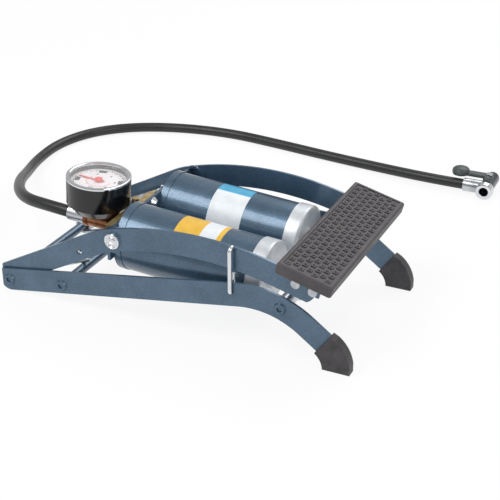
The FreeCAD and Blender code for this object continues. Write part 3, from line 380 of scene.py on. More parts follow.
@dataclass(frozen=True)
class ClearMoulding(Finish):
    """Clear acrylic, which shows what is under it and a gloss of its own.

    Attributes:
        body: How much of the surface is seen rather than what is under it.
    """

    body: float = 0.12

    def finish_shader(self, made: bpy.types.Material, shader: bpy.types.Node) -> None:
        """Makes the moulding clear."""
        shader.inputs["Alpha"].default_value = self.body


FINISHES: dict[Slot, Finish] = {
    # Stoved enamel on pressed steel: a deep blue-grey with pale flake under a smooth skin.
    Slot.BLUE_STEEL: FlakedEnamel(
        "Flaked stove enamel", "3E566A", "4E687E", drift_mm=30.0, grain_mm=1.6, grain_depth=0.06,
        rough_low=0.3, rough_high=0.4, metallic=0.55, coat=0.5,
    ),
    # Bright zinc on drawn wire and rod: grey-white with a soft streaked shine.
    Slot.PLATED_STEEL: TurnedMetal(
        "Bright zinc plate", "9C9FA4", "CDD0D4", grain_mm=0.4, stretch=(1.0, 0.3, 1.0),
        rough_low=0.2, rough_high=0.34, metallic=1.0,
    ),
    # Polished chromium: mirror bright with faint wipe marks.
    Slot.CHROME: TurnedMetal(
        "Polished chromium plate", "D2D4D8", "E6E8EB", grain_mm=2.0, grain_depth=0.03,
        rough_low=0.06, rough_high=0.14, metallic=1.0,
    ),
    # Die-cast aluminium, barrelled satin: near white with soft clouds.
    Slot.SILVER_CAP: TurnedMetal(
        "Satin die-cast aluminium", "C4C8CD", "E4E7EA", grain_mm=0.5, grain_depth=0.12,
        rough_low=0.36, rough_high=0.5, metallic=0.6,
    ),
    # Turned aluminium: grey rings left by the tool.
    Slot.PISTON: TurnedMetal(
        "Turned aluminium", "AEB1B5", "C9CBCE", grain_mm=0.3, stretch=(4.0, 1.0, 1.0),
        rough_low=0.25, rough_high=0.4, metallic=1.0,
    ),
    # Machined yellow brass gone dull: pale straw with browner patches.
    Slot.BRASS: TurnedMetal(
        "Machined yellow brass", "A98B57", "D9C696", drift_mm=9.0, grain_mm=0.5, scuff="F0E4C0",
        rough_low=0.28, rough_high=0.45, metallic=0.9,
    ),
    # Red brass tube and nut: copper brown, darker in its corners.
    Slot.RED_BRASS: TurnedMetal(
        "Red brass", "7C4A30", "B9805A", drift_mm=7.0, grain_mm=0.5, scuff="E8B998",
        rough_low=0.24, rough_high=0.42, metallic=0.9,
    ),
    # Polypropylene moulded in a spark-eroded tool: warm dark grey with a fine even grain.
    Slot.TREAD: Finish(
        "Grained polypropylene", "3C393C", "4C484B", grain_mm=0.6, grain_depth=0.35,
        rough_low=0.42, rough_high=0.6, ior=1.49,
    ),
    # The same moulding on the feet, rubbed paler by the floor.
    Slot.FOOT: Finish(
        "Scuffed polypropylene", "302E30", "474447", drift_mm=7.0, grain_mm=0.7, grain_depth=0.4,
        rough_low=0.45, rough_high=0.65, ior=1.49,
    ),
    # Black ABS from a polished tool: deep and glossy.
    Slot.BLACK_PLASTIC: Finish(
        "Glossy black ABS", "060607", "0F0F11", grain_mm=2.5, grain_depth=0.04,
        rough_low=0.14, rough_high=0.24, ior=1.54,
    ),
    # Glass-filled nylon: grey with a green cast and a soft sheen.
    Slot.GREY_PLASTIC: Finish(
        "Glass-filled nylon", "343A3B", "4A5152", drift_mm=6.0, grain_mm=0.5, grain_depth=0.25,
        rough_low=0.35, rough_high=0.5, ior=1.53,
    ),
    # Clear acrylic moulding: only its gloss is seen.
    Slot.CLEAR: ClearMoulding(
        "Clear acrylic", "F2F5F8", "FFFFFF", grain_mm=5.0, grain_depth=0.02,
        rough_low=0.02, rough_high=0.06, ior=1.49,
    ),
    # Printed tin dial: matt white with a warm cast.
    Slot.DIAL: Finish(
        "White printed tin", "E9E2E4", "F6F2F3", grain_mm=0.4, grain_depth=0.03,
        rough_low=0.4, rough_high=0.5,
    ),
    # Red styrene moulding: bright and a little glossy.
    Slot.NEEDLE: Finish(
        "Red polystyrene", "D9281E", "F04A3C", drift_mm=3.0, grain_mm=0.8, grain_depth=0.04,
        rough_low=0.25, rough_high=0.35, ior=1.59,
    ),
    # Extruded rubber hose: black with a grey bloom and fine lengthwise draw marks.
    Slot.HOSE: Finish(
        "Extruded black rubber", "121213", "222325", drift_mm=22.0, grain_mm=0.9, grain_depth=0.15,
        rough_low=0.34, rough_high=0.46, ior=1.52,
    ),
    # Moulded nitrile seal: black and matt.
    Slot.SEAL: Finish(
        "Moulded nitrile rubber", "101011", "1B1B1C", grain_mm=0.5, grain_depth=0.2,
        rough_low=0.5, rough_high=0.65, ior=1.52,
    ),
    # Acetal guide: waxy off-white.
    Slot.GUIDE: Finish(
        "Natural acetal", "D3CFC4", "E2DFD6", grain_mm=0.6, grain_depth=0.08,
        rough_low=0.35, rough_high=0.45, ior=1.48,
    ),
}

EXTRA_FINISHES: dict[str, Finish] = {
    # Printing ink on the dial: flat, near black.
    "ink": Finish("Black printing ink", "17181A", "232427", grain_mm=0.3, grain_depth=0.02),
    # Printing ink on the dial: flat red.
    "red_ink": Finish("Red printing ink", "D96A68", "E58886", grain_mm=0.3, grain_depth=0.02),
    # Vinyl film, printed amber and laminated: smooth with a low gloss.
    "amber_film": Finish(
        "Amber vinyl film", "E0AE3A", "EBBE4C", drift_mm=8.0, grain_mm=1.2, grain_depth=0.03,
        rough_low=0.28, rough_high=0.36,
    ),
    # Vinyl film, printed white.
    "white_film": Finish(
        "White vinyl film", "DDE2E6", "EDF1F4", drift_mm=8.0, grain_mm=1.2, grain_depth=0.03,
        rough_low=0.28, rough_high=0.36,
    ),
    # Black nickel plate: a dark smoky mirror, duller where it is handled.
    "smoked_nickel": TurnedMetal(
        "Black nickel plate", "45494D", "6A6F74", drift_mm=6.0, grain_mm=0.6, scuff="9FA4A9",
        rough_low=0.2, rough_high=0.34, metallic=1.0,
    ),
    # Vinyl film, printed sky blue.
    "blue_film": Finish(
        "Sky blue vinyl film", "3F9CC4", "55B0D6", drift_mm=8.0, grain_mm=1.2, grain_depth=0.03,
        rough_low=0.28, rough_high=0.36,
    ),
}


# Modelling


def start_clean() -> None:
    """Leaves edit mode and deselects everything."""
    if bpy.context.object and bpy.context.object.mode != "OBJECT":
        bpy.ops.object.mode_set(mode="OBJECT")
    bpy.ops.object.select_all(action="DESELECT")


def settle(piece: bpy.types.Object, frame: Matrix) -> None:
    """Moves a mesh from its own frame to the row frame and leaves its object at the origin.

    Args:
        piece: The mesh object, modelled about its own frame's origin.
        frame: Where that frame is.
    """
    piece.data.transform(frame @ piece.matrix_world)
    piece.matrix_world = Matrix.Identity(4)
    piece.data.update()


def close_normals(piece: bpy.types.Object) -> None:
    """Merges doubles and makes the faces of a closed mesh point outwards."""
    start_clean()
    piece.select_set(True)
    bpy.context.view_layer.objects.active = piece
    bpy.ops.object.mode_set(mode="EDIT")
    bpy.ops.mesh.select_all(action="SELECT")
    bpy.ops.mesh.remove_doubles(threshold=0.000001)
    bpy.ops.mesh.normals_make_consistent(inside=False)
    bpy.ops.object.mode_set(mode="OBJECT")


def turned(
    name: str, profile: list[tuple[float, float]], frame: Matrix, sides: int = 64
) -> bpy.types.Object:
    """Turns a closed piece about its own Z axis, as on a lathe.

    Args:
        name: The piece's name.
        profile: Radius and height of each ring in mm, from the bottom to the top. One that
            ends where it starts is a ring, open through its middle.
        frame: Where the piece's own frame is in the row frame.
        sides: Number of sides round the piece.

    Returns:
        The piece, shaded smooth with its corners kept.
    """
    start_clean()
    first_radius, first_height = profile[0]
    bpy.ops.mesh.primitive_circle_add(
        vertices=sides,
        radius=first_radius * MM,
        fill_type="NOTHING" if profile[0] == profile[-1] else "NGON",
        location=(0, 0, first_height * MM),
    )
    piece = bpy.context.object
    piece.name = name
    bpy.ops.object.transform_apply(location=True, rotation=True, scale=True)
    bpy.ops.object.mode_set(mode="EDIT")
    bpy.ops.mesh.select_all(action="SELECT")
    radius, height = first_radius, first_height
    for next_radius, next_height in profile[1:]:
        bpy.ops.mesh.extrude_region_move(
            TRANSFORM_OT_translate={"value": (0, 0, (next_height - height) * MM)}
        )
        ratio = next_radius / radius
        bpy.ops.transform.resize(value=(ratio, ratio, 1.0), center_override=(0, 0, next_height * MM))
        radius, height = next_radius, next_height
    bpy.ops.object.mode_set(mode="OBJECT")
    close_normals(piece)
    bpy.ops.object.shade_smooth_by_angle(angle=SMOOTH_ANGLE)
    settle(piece, frame)
    return piece


def joined(name: str, pieces: list[bpy.types.Object]) -> bpy.types.Object:
    """Joins pieces of one finish into one object.

    Args:
        name: The joined piece's name.
        pieces: The pieces, each at the origin.

    Returns:
        The joined piece.
    """
    start_clean()
    for piece in pieces:
        piece.select_set(True)
    bpy.context.view_layer.objects.active = pieces[0]
    if len(pieces) > 1:
        bpy.ops.object.join()
    result = bpy.context.object
    result.name = name
    return result


def dressed(piece: bpy.types.Object, material: bpy.types.Material) -> None:
    """Gives a piece one material all over."""
    piece.data.materials.clear()
    piece.data.materials.append(material)


@dataclass
class Workshop:
    """What every sub-assembly shares.

    Attributes:
        finishes: The material for each slot.
        prints: The material for each film, ink or plate that is no slot of its own.
    """

    frame: dict[str, object]
    finishes: dict[Slot, bpy.types.Material] = field(default_factory=dict)
    prints: dict[str, bpy.types.Material] = field(default_factory=dict)

    def mix_finishes(self) -> None:
        """Makes each finish once."""
        self.finishes = {slot: finish.material() for slot, finish in FINISHES.items()}
        self.prints = {name: finish.material() for name, finish in EXTRA_FINISHES.items()}

    def dress_nodes(self, slots: dict[Slot, tuple[str, ...]]) -> None:
        """Gives CAD nodes the finish of their slot."""
        for slot, names in slots.items():
            for name in names:
                dressed(self.frame["nodes"][name], self.finishes[slot])

    def hand_over(self, piece: bpy.types.Object, body: Body, finish: Slot | str) -> None:
        """Dresses a new piece and declares what it rides on.

        Args:
            piece: The piece.
            body: The body that it moves with.
            finish: Its material slot, or the name of a film or an ink, which is no slot.
        """
        if isinstance(finish, Slot):
            dressed(piece, self.finishes[finish])
        else:
            dressed(piece, self.prints[finish])
        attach(piece, body.value)
        LOG.info("%s rides on %s", piece.name, body.value)


# Sub-assemblies


@dataclass
class Camera:
    """The camera and its aim.

    Attributes:
        place: Its place in metres.
        azimuth: Turn round the part in degrees.
        elevation: Height above the horizon in degrees.
        lens: Focal length in mm on a 36 mm sensor.
    """

    place: Point = (0.39676, -0.75933, 0.47586)
    azimuth: float = 25.203
    elevation: float = 27.232
    lens: float = 84.94

    def build(self) -> None:
        """Makes the camera and hands it to the scene."""
        data = bpy.data.cameras.new("Camera")
        data.lens = self.lens
        data.sensor_width = 36.0
        data.clip_end = 50.0
        camera = bpy.data.objects.new("Camera", data)
        bpy.context.scene.collection.objects.link(camera)
        turn, rise = math.radians(self.azimuth), math.radians(self.elevation)
        back = Vector((math.sin(turn) * math.cos(rise), -math.cos(turn) * math.cos(rise), math.sin(rise)))
        camera.location = self.place
        camera.rotation_mode = "QUATERNION"
        camera.rotation_quaternion = (-back).to_track_quat("-Z", "Y")
        bpy.context.scene.camera = camera


@dataclass
class AirHose:
    """The rubber air hose from the tee round to the chuck.

    Attributes:
        diameter: Outside diameter in metres.
        length: Length in metres.
        route: Points that the hose follows, in metres.
        on_it: CAD nodes of the chuck on its far end.
    """

    diameter: float = 0.010
    length: float = 0.7848
    route: tuple[Point, ...] = (
        (-0.1107, -0.0280, 0.0596), (-0.1334, -0.0280, 0.0612), (-0.1610, -0.0190, 0.0580),
        (-0.1900, 0.0100, 0.0490), (-0.2220, 0.0560, 0.0340), (-0.2540, 0.1100, 0.0140),
        (-0.2760, 0.1580, 0.0050), (-0.2810, 0.2040, 0.0050), (-0.2670, 0.2480, 0.0050),
        (-0.2330, 0.2810, 0.0050), (-0.1840, 0.3010, 0.0050), (-0.1280, 0.3090, 0.0050),
        (-0.0700, 0.3030, 0.0050), (-0.0120, 0.2950, 0.0050), (0.0460, 0.2890, 0.0050),
        (0.1040, 0.2784, 0.0078), (0.1380, 0.2790, 0.0078),
    )
    on_it: tuple[str, ...] = ("chuck_body", "chuck_collar", "chuck_seal", "chuck_lever", "lever_pin")

    def build(self, shop: Workshop, trim: list[bpy.types.Object]) -> None:
        """Args:
            shop: The shared workshop.
            trim: New pieces on the chuck; not used.
        """
        curve = bpy.data.curves.new("air_hose_rubber", "CURVE")
        curve.dimensions = "3D"
        curve.resolution_u = 12
        curve.bevel_depth = self.diameter / 2
        curve.bevel_resolution = 8
        curve.use_fill_caps = True
        line = curve.splines.new("NURBS")
        line.points.add(len(self.route) - 1)
        for spot, place in zip(line.points, self.route):
            spot.co = (*place, 1.0)
        line.order_u = 3
        line.use_endpoint_u = True
        hose = bpy.data.objects.new("air_hose_rubber", curve)
        bpy.context.scene.collection.objects.link(hose)
        shop.hand_over(hose, Body.BARRELS, Slot.HOSE)
        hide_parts("air_hose")


@dataclass
class Chuck:
    """The chuck on the far end of the hose: its chromed mouth, domed body and thumb pad.

    Attributes:
        axis_ahead: How far ahead of the hose's end the chuck's own axis is, in mm.
        mouth: Place of the mouth along the axis, in mm.
        bore: Radius of the valve bore, in mm.
        reach: How far the thumb pad is from the lever's pin, in mm.
        pin_back: Place of the lever's pin along the axis, in mm.
        back: Place of the body's far end along the axis, in mm.
    """

    axis_ahead: float = 22.0
    mouth: float = -11.0
    bore: float = 4.2
    reach: float = 28.0
    pin_back: float = 9.0
    back: float = 25.0

    def along(self, place: float) -> Matrix:
        """The frame at a place on the chuck's axis, with Z away from the mouth."""
        turn = Matrix.Rotation(math.radians(-90.0), 4, "X")
        return CHUCK_FRAME @ Matrix.Translation((self.axis_ahead * MM, place * MM, 0.0)) @ turn

    def upright(self, ahead: float, back: float, rise: float) -> Matrix:
        """A frame that stands upright on the chuck."""
        return CHUCK_FRAME @ Matrix.Translation((ahead * MM, back * MM, rise * MM))

    def build(self, shop: Workshop) -> list[bpy.types.Object]:
        """Makes the chuck's trim.

        Returns:
            The new pieces.
        """
        ring = turned(
            "chuck_mouth_ring",
            [(self.bore, 8.5), (self.bore, 0.4), (self.bore + 0.5, -0.3), (6.9, -0.5), (7.7, -0.1),
             (8.15, 0.8), (8.15, 2.6), (7.95, 3.0), (7.95, 3.6), (8.15, 4.0), (8.15, 7.6), (7.7, 8.4),
             (6.7, 8.6), (self.bore, 8.5)],
            self.along(self.mouth),
        )
        shop.hand_over(ring, Body.BARRELS, Slot.CHROME)
        top = turned(
            "chuck_shoulder",
            [(4.2, 3.0), (4.2, 8.0), (3.9, 9.6), (3.2, 10.7), (2.0, 11.4), (0.7, 11.7), (0.05, 11.72)],
            self.upright(self.axis_ahead, 0.6, 0.0),
            48,
        )
        shop.hand_over(top, Body.BARRELS, Slot.GREY_PLASTIC)
        back_dome = turned(
            "chuck_back_dome",
            [(6.6, -0.5), (6.6, 0.6), (6.1, 2.2), (4.9, 3.6), (2.9, 4.5), (0.05, 4.8)],
            self.along(self.back),
        )
        shop.hand_over(back_dome, Body.BARRELS, Slot.GREY_PLASTIC)
        pad = turned(
            "thumb_pad",
            [(7.8, 7.2), (8.3, 7.8), (8.5, 9.2), (8.4, 10.6), (7.9, 11.8), (6.8, 12.8), (4.8, 13.5),
             (2.4, 13.9), (0.05, 14.0)],
            self.upright(self.axis_ahead - self.reach, self.pin_back, 0.0),
        )
        shop.hand_over(pad, Body.LEVER, Slot.GREY_PLASTIC)
        return [ring, top, back_dome, pad]


@dataclass
class Gauge:
    """The dial's print and the gauge's bright rim.

    Attributes:
        setback: Place of the gauge's axis on the barrel block, in mm.
        side: Its place across the block, in mm.
        dial_top: Height of the dial's face, in mm.
        print_rise: Height of the print's middle over the dial, in mm.
        print_depth: Thickness of the print, in mm.
        number_reach: Distance of the numbers from the axis, in mm.
        number_size: Height of the numbers' type, in mm.
        scale_outer: Outer radius of the scale, in mm.
        tick_count: Number of steps in the scale.
        tick_half: Half a tick's width, as a share of the sweep.
        block_half: Half a thick block mark's width, as a share of the sweep.
        numbers: Plain numbers round the dial.
        sweep: Angle from the first number to the last, in degrees.
        blocks: Share of the sweep at each thick block mark.
    """

    setback: float = -39.0
    side: float = -28.0
    dial_top: float = 36.0
    print_rise: float = 0.06
    print_depth: float = 0.08
    number_reach: float = 13.0
    number_size: float = 4.2
    scale_outer: float = 20.3
    tick_count: int = 20
    tick_half: float = 0.0015
    block_half: float = 0.04
    numbers: tuple[str, ...] = ("0", "2", "4", "6", "8", "10")
    sweep: float = 270.0
    blocks: tuple[float, ...] = (0.02, 0.34, 0.67)

    def on_dial(self, rise: float) -> Matrix:
        """The frame on the gauge's axis at a height over the dial's face."""
        place = (self.setback * MM, self.side * MM, (self.dial_top + rise) * MM)
        return BLOCK_FRAME @ Matrix.Translation(place)

    def angle(self, share: float) -> float:
        """The angle of a mark at a share of the sweep, from the needle's rest, turning clockwise."""
        return math.pi - math.radians(self.sweep) * share

    def arc(self, name: str, inner: float, outer: float, start: float, stop: float) -> bpy.types.Object:
        """Makes a flat printed arc.

        Args:
            name: The piece's name.
            inner: Inner radius in mm.
            outer: Outer radius in mm.
            start: Share of the sweep where it starts.
            stop: Share of the sweep where it ends.

        Returns:
            The arc, a thin closed piece on the dial.
        """
        start_clean()
        bpy.ops.mesh.primitive_plane_add(size=outer * MM, location=(0, 0, 0))
        piece = bpy.context.object
        piece.name = name
        shape = bmesh.new()
        shape.edges.new((shape.verts.new((inner * MM, 0, 0)), shape.verts.new((outer * MM, 0, 0))))
        shape.to_mesh(piece.data)
        shape.free()
        bpy.ops.object.mode_set(mode="EDIT")
        bpy.ops.mesh.select_all(action="SELECT")
        turn = self.angle(stop) - self.angle(start)
        steps = max(2, int(abs(math.degrees(turn)) / 5))
        bpy.ops.mesh.spin(steps=steps, angle=-turn, center=(0, 0, 0), axis=(0, 0, -1))
        bpy.ops.object.mode_set(mode="OBJECT")
        piece.data.transform(Matrix.Rotation(self.angle(start), 4, "Z"))
        thicken = piece.modifiers.new("thickness", "SOLIDIFY")
        thicken.thickness = self.print_depth * MM
        thicken.offset = 0.0
        bpy.ops.object.modifier_apply(modifier=thicken.name)
        settle(piece, self.on_dial(self.print_rise))
        return piece

    def number(self, text: str, share: float) -> bpy.types.Object:
        """Makes one printed number, upright on the dial."""
        start_clean()
        bpy.ops.object.text_add(location=(0, 0, 0))
        words = bpy.context.object
        words.data.body = text
        words.data.size = self.number_size * MM
        words.data.align_x = "CENTER"
        words.data.align_y = "CENTER"
        words.data.extrude = self.print_depth / 2 * MM
        words.data.resolution_u = 3
        bpy.ops.object.convert(target="MESH")
        piece = bpy.context.object
        turn = self.angle(share)
        reach = self.number_reach * MM
        spot = Matrix.Translation((math.cos(turn) * reach, math.sin(turn) * reach, 0.0))
        settle(piece, self.on_dial(self.print_rise) @ spot)
        return piece

    def build(self, shop: Workshop) -> None:
        """Prints the dial and fits the rim."""
        marks = [self.arc("scale_arc", 20.0, self.scale_outer, 0.0, 1.0)]
        for step in range(self.tick_count + 1):
            share = step / self.tick_count
            inner = 17.2 if step % 4 == 0 else 18.6
            start, stop = share - self.tick_half, share + self.tick_half
            marks.append(self.arc(f"tick_{step}", inner, self.scale_outer, start, stop))
        for index, text in enumerate(self.numbers):
            marks.append(self.number(text, index / (len(self.numbers) - 1)))
        for share in self.blocks:
            start, stop = share - self.block_half, share + self.block_half
            marks.append(self.arc("block_mark", 15.6, 19.6, start, stop))
        shop.hand_over(joined("dial_marks", marks), Body.BARRELS, "ink")
        red = self.arc("dial_red_arc", 9.6, 10.1, 0.1, 0.9)
        shop.hand_over(red, Body.BARRELS, "red_ink")
        rim = turned(
            "gauge_rim",
            [(23.1, 3.2), (25.4, 3.2), (26.15, 3.5), (26.15, 4.6), (25.7, 5.3), (24.9, 5.6), (24.0, 5.5),
             (23.3, 5.1), (23.1, 4.6), (23.1, 3.2)],
            self.on_dial(0.0),
            96,
        )
        shop.hand_over(rim, Body.BARRELS, Slot.CHROME)


@dataclass
class Pedal:
    """The sunk studs of the pedal's tread.

    Attributes:
        floor: Height of the tread's floor on the pedal, in mm.
        stud: Side of a stud, in mm.
        rise: Height of a stud, in mm.
        wall: Width of a stud's rim, in mm.
        rows: Number of rows along the pedal's short side.
        columns: Number of studs in a row.
        row_pitch: Distance between rows, in mm.
        column_pitch: Distance between studs in a row, in mm.
    """

    floor: float = 7.8
    stud: float = 3.7
    rise: float = 0.75
    wall: float = 0.8
    rows: int = 7
    columns: int = 20
    row_pitch: float = 5.3
    column_pitch: float = 7.5

    def build_stud(self) -> bpy.types.Object:
        """Models one stud: a low square block with a pocket in its top.

        Returns:
            The stud, about its own centre.
        """
        start_clean()
        bpy.ops.mesh.primitive_cube_add(size=1.0, location=(0, 0, 0))
        stud = bpy.context.object
        bpy.ops.object.mode_set(mode="EDIT")
        bpy.ops.mesh.select_all(action="SELECT")
        bpy.ops.transform.resize(
            value=(self.stud * MM, self.stud * MM, self.rise * 2 * MM), center_override=(0, 0, 0)
        )
        bpy.ops.mesh.select_all(action="DESELECT")
        shape = bmesh.from_edit_mesh(stud.data)
        for face in shape.faces:
            face.select = face.normal.z > 0.5
        bmesh.update_edit_mesh(stud.data)
        bpy.ops.mesh.inset(thickness=0.15 * MM, depth=0.0)
        bpy.ops.transform.translate(value=(0, 0, 0.1 * MM))
        bpy.ops.mesh.inset(thickness=self.wall * MM, depth=0.0)
        bpy.ops.mesh.inset(thickness=0.15 * MM, depth=-self.rise * 0.9 * MM)
        bpy.ops.object.mode_set(mode="OBJECT")
        return stud

    def build(self, shop: Workshop) -> None:
        """Lays the studs out in staggered rows."""
        stud = self.build_stud()
        laid = []
        for row in range(self.rows):
            ahead = (row - (self.rows - 1) / 2) * self.row_pitch
            shift = self.column_pitch / 4 * (1 if row % 2 else -1)
            for column in range(self.columns):
                across = (column - (self.columns - 1) / 2) * self.column_pitch + shift
                copy = bpy.data.objects.new("stud", stud.data.copy())
                bpy.context.scene.collection.objects.link(copy)
                settle(copy, PEDAL_FRAME @ Matrix.Translation((ahead * MM, across * MM, self.floor * MM)))
                laid.append(copy)
        bpy.data.objects.remove(stud)
        tread = joined("pedal_tread_studs", laid)
        shop.hand_over(tread, Body.ARMS, Slot.TREAD)


@dataclass
class BarrelLabel:
    """A blank printed film wrapped on a barrel.

    Attributes:
        name: The label's name.
        side: The barrel's place across the block, in mm.
        start: Where the film starts along the barrel, in mm.
        stop: Where it ends, in mm.
        low: Angle of its lower edge in degrees, from the right-hand side up.
        high: Angle of its upper edge in degrees.
        film: Name of its printed film.
        lift: How far the film stands off the barrel, in mm.
        barrel_radius: Outer radius of the barrel, in mm.
    """

    name: str
    side: float
    start: float
    stop: float
    low: float
    high: float
    film: str
    lift: float = 0.12
    barrel_radius: float = 27.1

    def build(self, shop: Workshop) -> None:
        """Wraps the film."""
        start_clean()
        radius = (self.barrel_radius + self.lift) * MM
        length = (self.stop - self.start) * MM
        bpy.ops.mesh.primitive_cylinder_add(
            vertices=180, radius=radius, depth=length, end_fill_type="NOTHING"
        )
        piece = bpy.context.object
        piece.name = self.name
        piece.data.transform(Matrix.Rotation(math.radians(90.0), 4, "Y"))
        bpy.ops.object.mode_set(mode="EDIT")
        shape = bmesh.from_edit_mesh(piece.data)
        for face in shape.faces:
            middle = face.calc_center_median()
            turn = math.degrees(math.atan2(middle.z, -middle.y)) % 360
            face.select = not self.low < turn < self.high
        bmesh.update_edit_mesh(piece.data)
        bpy.ops.mesh.delete(type="FACE")
        bpy.ops.object.mode_set(mode="OBJECT")
        thicken = piece.modifiers.new("film", "SOLIDIFY")
        thicken.thickness = 0.1 * MM
        thicken.offset = -1.0
        bpy.ops.object.modifier_apply(modifier=thicken.name)
        bpy.ops.object.shade_smooth_by_angle(angle=SMOOTH_ANGLE)
        middle = (self.start + self.stop) / 2
        settle(piece, BLOCK_FRAME @ Matrix.Translation((middle * MM, self.side * MM, 0.0)))
        shop.hand_over(piece, Body.BARRELS, self.film)


@dataclass
class PivotRivets:
    """The bright rivet heads where the barrels hang in the arms.

    Attributes:
        ahead: Place of the pivot on the barrel block, in mm.
        rise: Height of the pivot on the barrel block, in mm.
        arm_outer: Distance from the middle to the arm's outer face, in mm.
    """

    ahead: float = -0.8
    rise: float = 11.9
    arm_outer: float = 69.05

    def build(self, shop: Workshop) -> None:
        """Turns both heads, each with a raised ring and a dimple."""
        profile = [(6.6, 0.0), (6.6, 1.9), (6.4, 2.7), (5.9, 3.1), (5.2, 3.1), (4.7, 2.7), (4.5, 2.3),
                   (3.9, 2.3), (3.3, 2.9), (2.6, 3.2), (1.9, 3.0), (1.3, 2.2), (0.05, 2.0)]
        heads = []
        for sign, name in ((-1, "right"), (1, "left")):
            spot = BLOCK_FRAME @ Vector((self.ahead * MM, 0.0, self.rise * MM))
            place = Matrix.Translation((spot.x, sign * self.arm_outer * MM, spot.z))
            turn = Matrix.Rotation(math.radians(-90.0 * sign), 4, "X")
            heads.append(turned(f"pivot_head_{name}", profile, place @ turn, 56))
        rivets = joined("pivot_rivet_heads", heads)
        shop.hand_over(rivets, Body.ARMS, Slot.CHROME)
        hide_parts("barrel_pivot_rivets")


@dataclass
class Studio:
    """The floor, lamps and pale surround.

    Attributes:
        floor_colour: Hex colour of the floor.
        floor_size: Side of the floor in metres.
        floor_glow: Share of the floor that shows as plain white.
    """

    floor_colour: str = "F2F2F2"
    floor_size: float = 60.0
    floor_glow: float = 0.88

    def build_floor(self) -> None:
        """Lays a pale floor that the camera sees nearly white and that keeps the shadow."""
        start_clean()
        bpy.ops.mesh.primitive_plane_add(size=self.floor_size, location=(0, 0, -0.0002))
        floor = bpy.context.object
        floor.name = "floor"
        paint = bpy.data.materials.new("Pale studio floor")
        paint.use_nodes = True
        paint.node_tree.nodes.clear()
        rays = add_node(paint, "ShaderNodeLightPath")
        matt = add_node(paint, "ShaderNodeBsdfDiffuse", sockets={"Color": linear(self.floor_colour)})
        glow = add_node(paint, "ShaderNodeEmission", sockets={"Color": (1, 1, 1, 1), "Strength": 1.0})
        seen = add_node(
            paint,
            "ShaderNodeMath",
            {"operation": "MAXIMUM"},
            {0: rays.outputs["Is Camera Ray"], 1: rays.outputs["Is Glossy Ray"]},
        )
        share = add_node(
            paint,
            "ShaderNodeMath",
            {"operation": "MULTIPLY"},
            {0: seen.outputs[0], 1: self.floor_glow},
        )
        both = add_node(
            paint,
            "ShaderNodeMixShader",
            sockets={0: share.outputs[0], 1: matt.outputs[0], 2: glow.outputs[0]},
        )
        add_node(paint, "ShaderNodeOutputMaterial", sockets={"Surface": both.outputs[0]})
        floor.data.materials.append(paint)

    def build_lamp(self, name: str, place: Point, size: float, watts: float) -> None:
        """Hangs one soft lamp that faces the part.

        Args:
            name: The lamp's name.
            place: Its place in metres.
            size: Side of its square face in metres.
            watts: Its power.
        """
        data = bpy.data.lights.new(name, "AREA")
        data.size = size
        data.energy = watts
        lamp = bpy.data.objects.new(name, data)
        bpy.context.scene.collection.objects.link(lamp)
        lamp.location = place
        lamp.rotation_mode = "QUATERNION"
        lamp.rotation_quaternion = (-Vector(place)).to_track_quat("-Z", "Y")

    def build_surround(self) -> None:
        """Makes the world: white where it is seen, softer where it lights."""
        world = bpy.data.worlds.new("Surround")
        bpy.context.scene.world = world
        world.use_nodes = True
        world.node_tree.nodes.clear()
        rays = add_node(world, "ShaderNodeLightPath")
        strength = add_node(
            world,
            "ShaderNodeMapRange",
            sockets={"Value": rays.outputs["Is Camera Ray"], "To Min": 0.55, "To Max": 1.0},
        )
        sky = add_node(
            world,
            "ShaderNodeBackground",
            sockets={"Color": (1, 1, 1, 1), "Strength": strength.outputs["Result"]},
        )
        add_node(world, "ShaderNodeOutputWorld", sockets={"Surface": sky.outputs[0]})

    def build(self) -> None:
        """Sets up the whole studio."""
        self.build_floor()
        self.build_lamp("key", (-0.7, -0.9, 1.6), 0.9, 16.0)
        self.build_lamp("fill", (1.5, -0.5, 1.1), 1.2, 8.0)
        self.build_lamp("back", (0.2, 1.4, 1.5), 1.2, 12.0)
        self.build_surround()
        bpy.context.scene.view_settings.view_transform = "Standard"


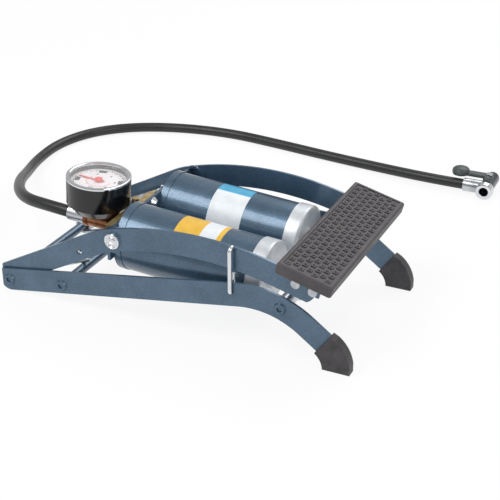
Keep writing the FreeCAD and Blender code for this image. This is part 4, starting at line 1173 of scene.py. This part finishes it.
NODE_SLOTS: dict[Slot, tuple[str, ...]] = {
    Slot.BLUE_STEEL: (
        "base_rail_right", "base_rail_left", "arm_right", "arm_left", "barrel_right", "barrel_left",
        "head_bracket", "barrel_head_right", "barrel_head_left", "pedal_plate", "rear_cross_rod",
        "middle_cross_rod", "front_cross_rod",
    ),
    Slot.PLATED_STEEL: (
        "front_rod_spacers", "return_spring_right", "return_spring_left", "pedal_rivets", "piston_rod_right",
        "piston_rod_left", "rod_nuts", "manifold_bolts", "hose_collar", "chuck_collar", "lever_pin",
    ),
    Slot.CHROME: ("barrel_pivot_rivets", "latch_hook", "centre_bolt"),
    Slot.SILVER_CAP: ("rod_cap_right", "rod_cap_left"),
    Slot.PISTON: ("piston_right", "piston_left"),
    Slot.BRASS: ("manifold", "gauge_movement", "manifold_plug"),
    Slot.RED_BRASS: ("brass_tee",),
    Slot.TREAD: ("pedal_pad",),
    Slot.FOOT: ("foot_cap_right", "foot_cap_left"),
    Slot.BLACK_PLASTIC: ("gauge_case", "gauge_bezel"),
    Slot.GREY_PLASTIC: ("chuck_lever",),
    Slot.CLEAR: ("gauge_lens",),
    Slot.DIAL: ("gauge_dial",),
    Slot.NEEDLE: ("gauge_needle",),
    Slot.SEAL: ("piston_seal_right", "piston_seal_left", "valve_discs", "chuck_seal"),
    Slot.GUIDE: ("rod_guides",),
}

SMOKED_NODES = ("chuck_body",)

RIGHT_BARREL = -34.3
LEFT_BARREL = 34.3

LABELS: tuple[BarrelLabel, ...] = (
    BarrelLabel("right_label_amber", RIGHT_BARREL, 41.0, 62.0, 30.0, 112.0, "amber_film"),
    BarrelLabel("right_label_white", RIGHT_BARREL, 62.0, 76.0, 30.0, 112.0, "white_film"),
    BarrelLabel("right_label_edge", RIGHT_BARREL, 76.0, 80.0, 30.0, 112.0, "amber_film"),
    BarrelLabel("left_label_white", LEFT_BARREL, 40.0, 70.0, 12.0, 78.0, "white_film"),
    BarrelLabel("left_label_blue", LEFT_BARREL, 40.0, 70.0, 78.0, 104.0, "blue_film"),
)


def main() -> None:
    """Builds the looks of the whole pump."""
    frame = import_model()
    shop = Workshop(frame)
    shop.mix_finishes()
    shop.dress_nodes(NODE_SLOTS)
    for name in SMOKED_NODES:
        dressed(frame["nodes"][name], shop.prints["smoked_nickel"])
    Camera().build()
    trim = Chuck().build(shop)
    AirHose().build(shop, trim)
    Gauge().build(shop)
    Pedal().build(shop)
    PivotRivets().build(shop)
    for label in LABELS:
        label.build(shop)
    Studio().build()


if __name__ == "__main__":
    logging.basicConfig(level=logging.INFO)
    main()
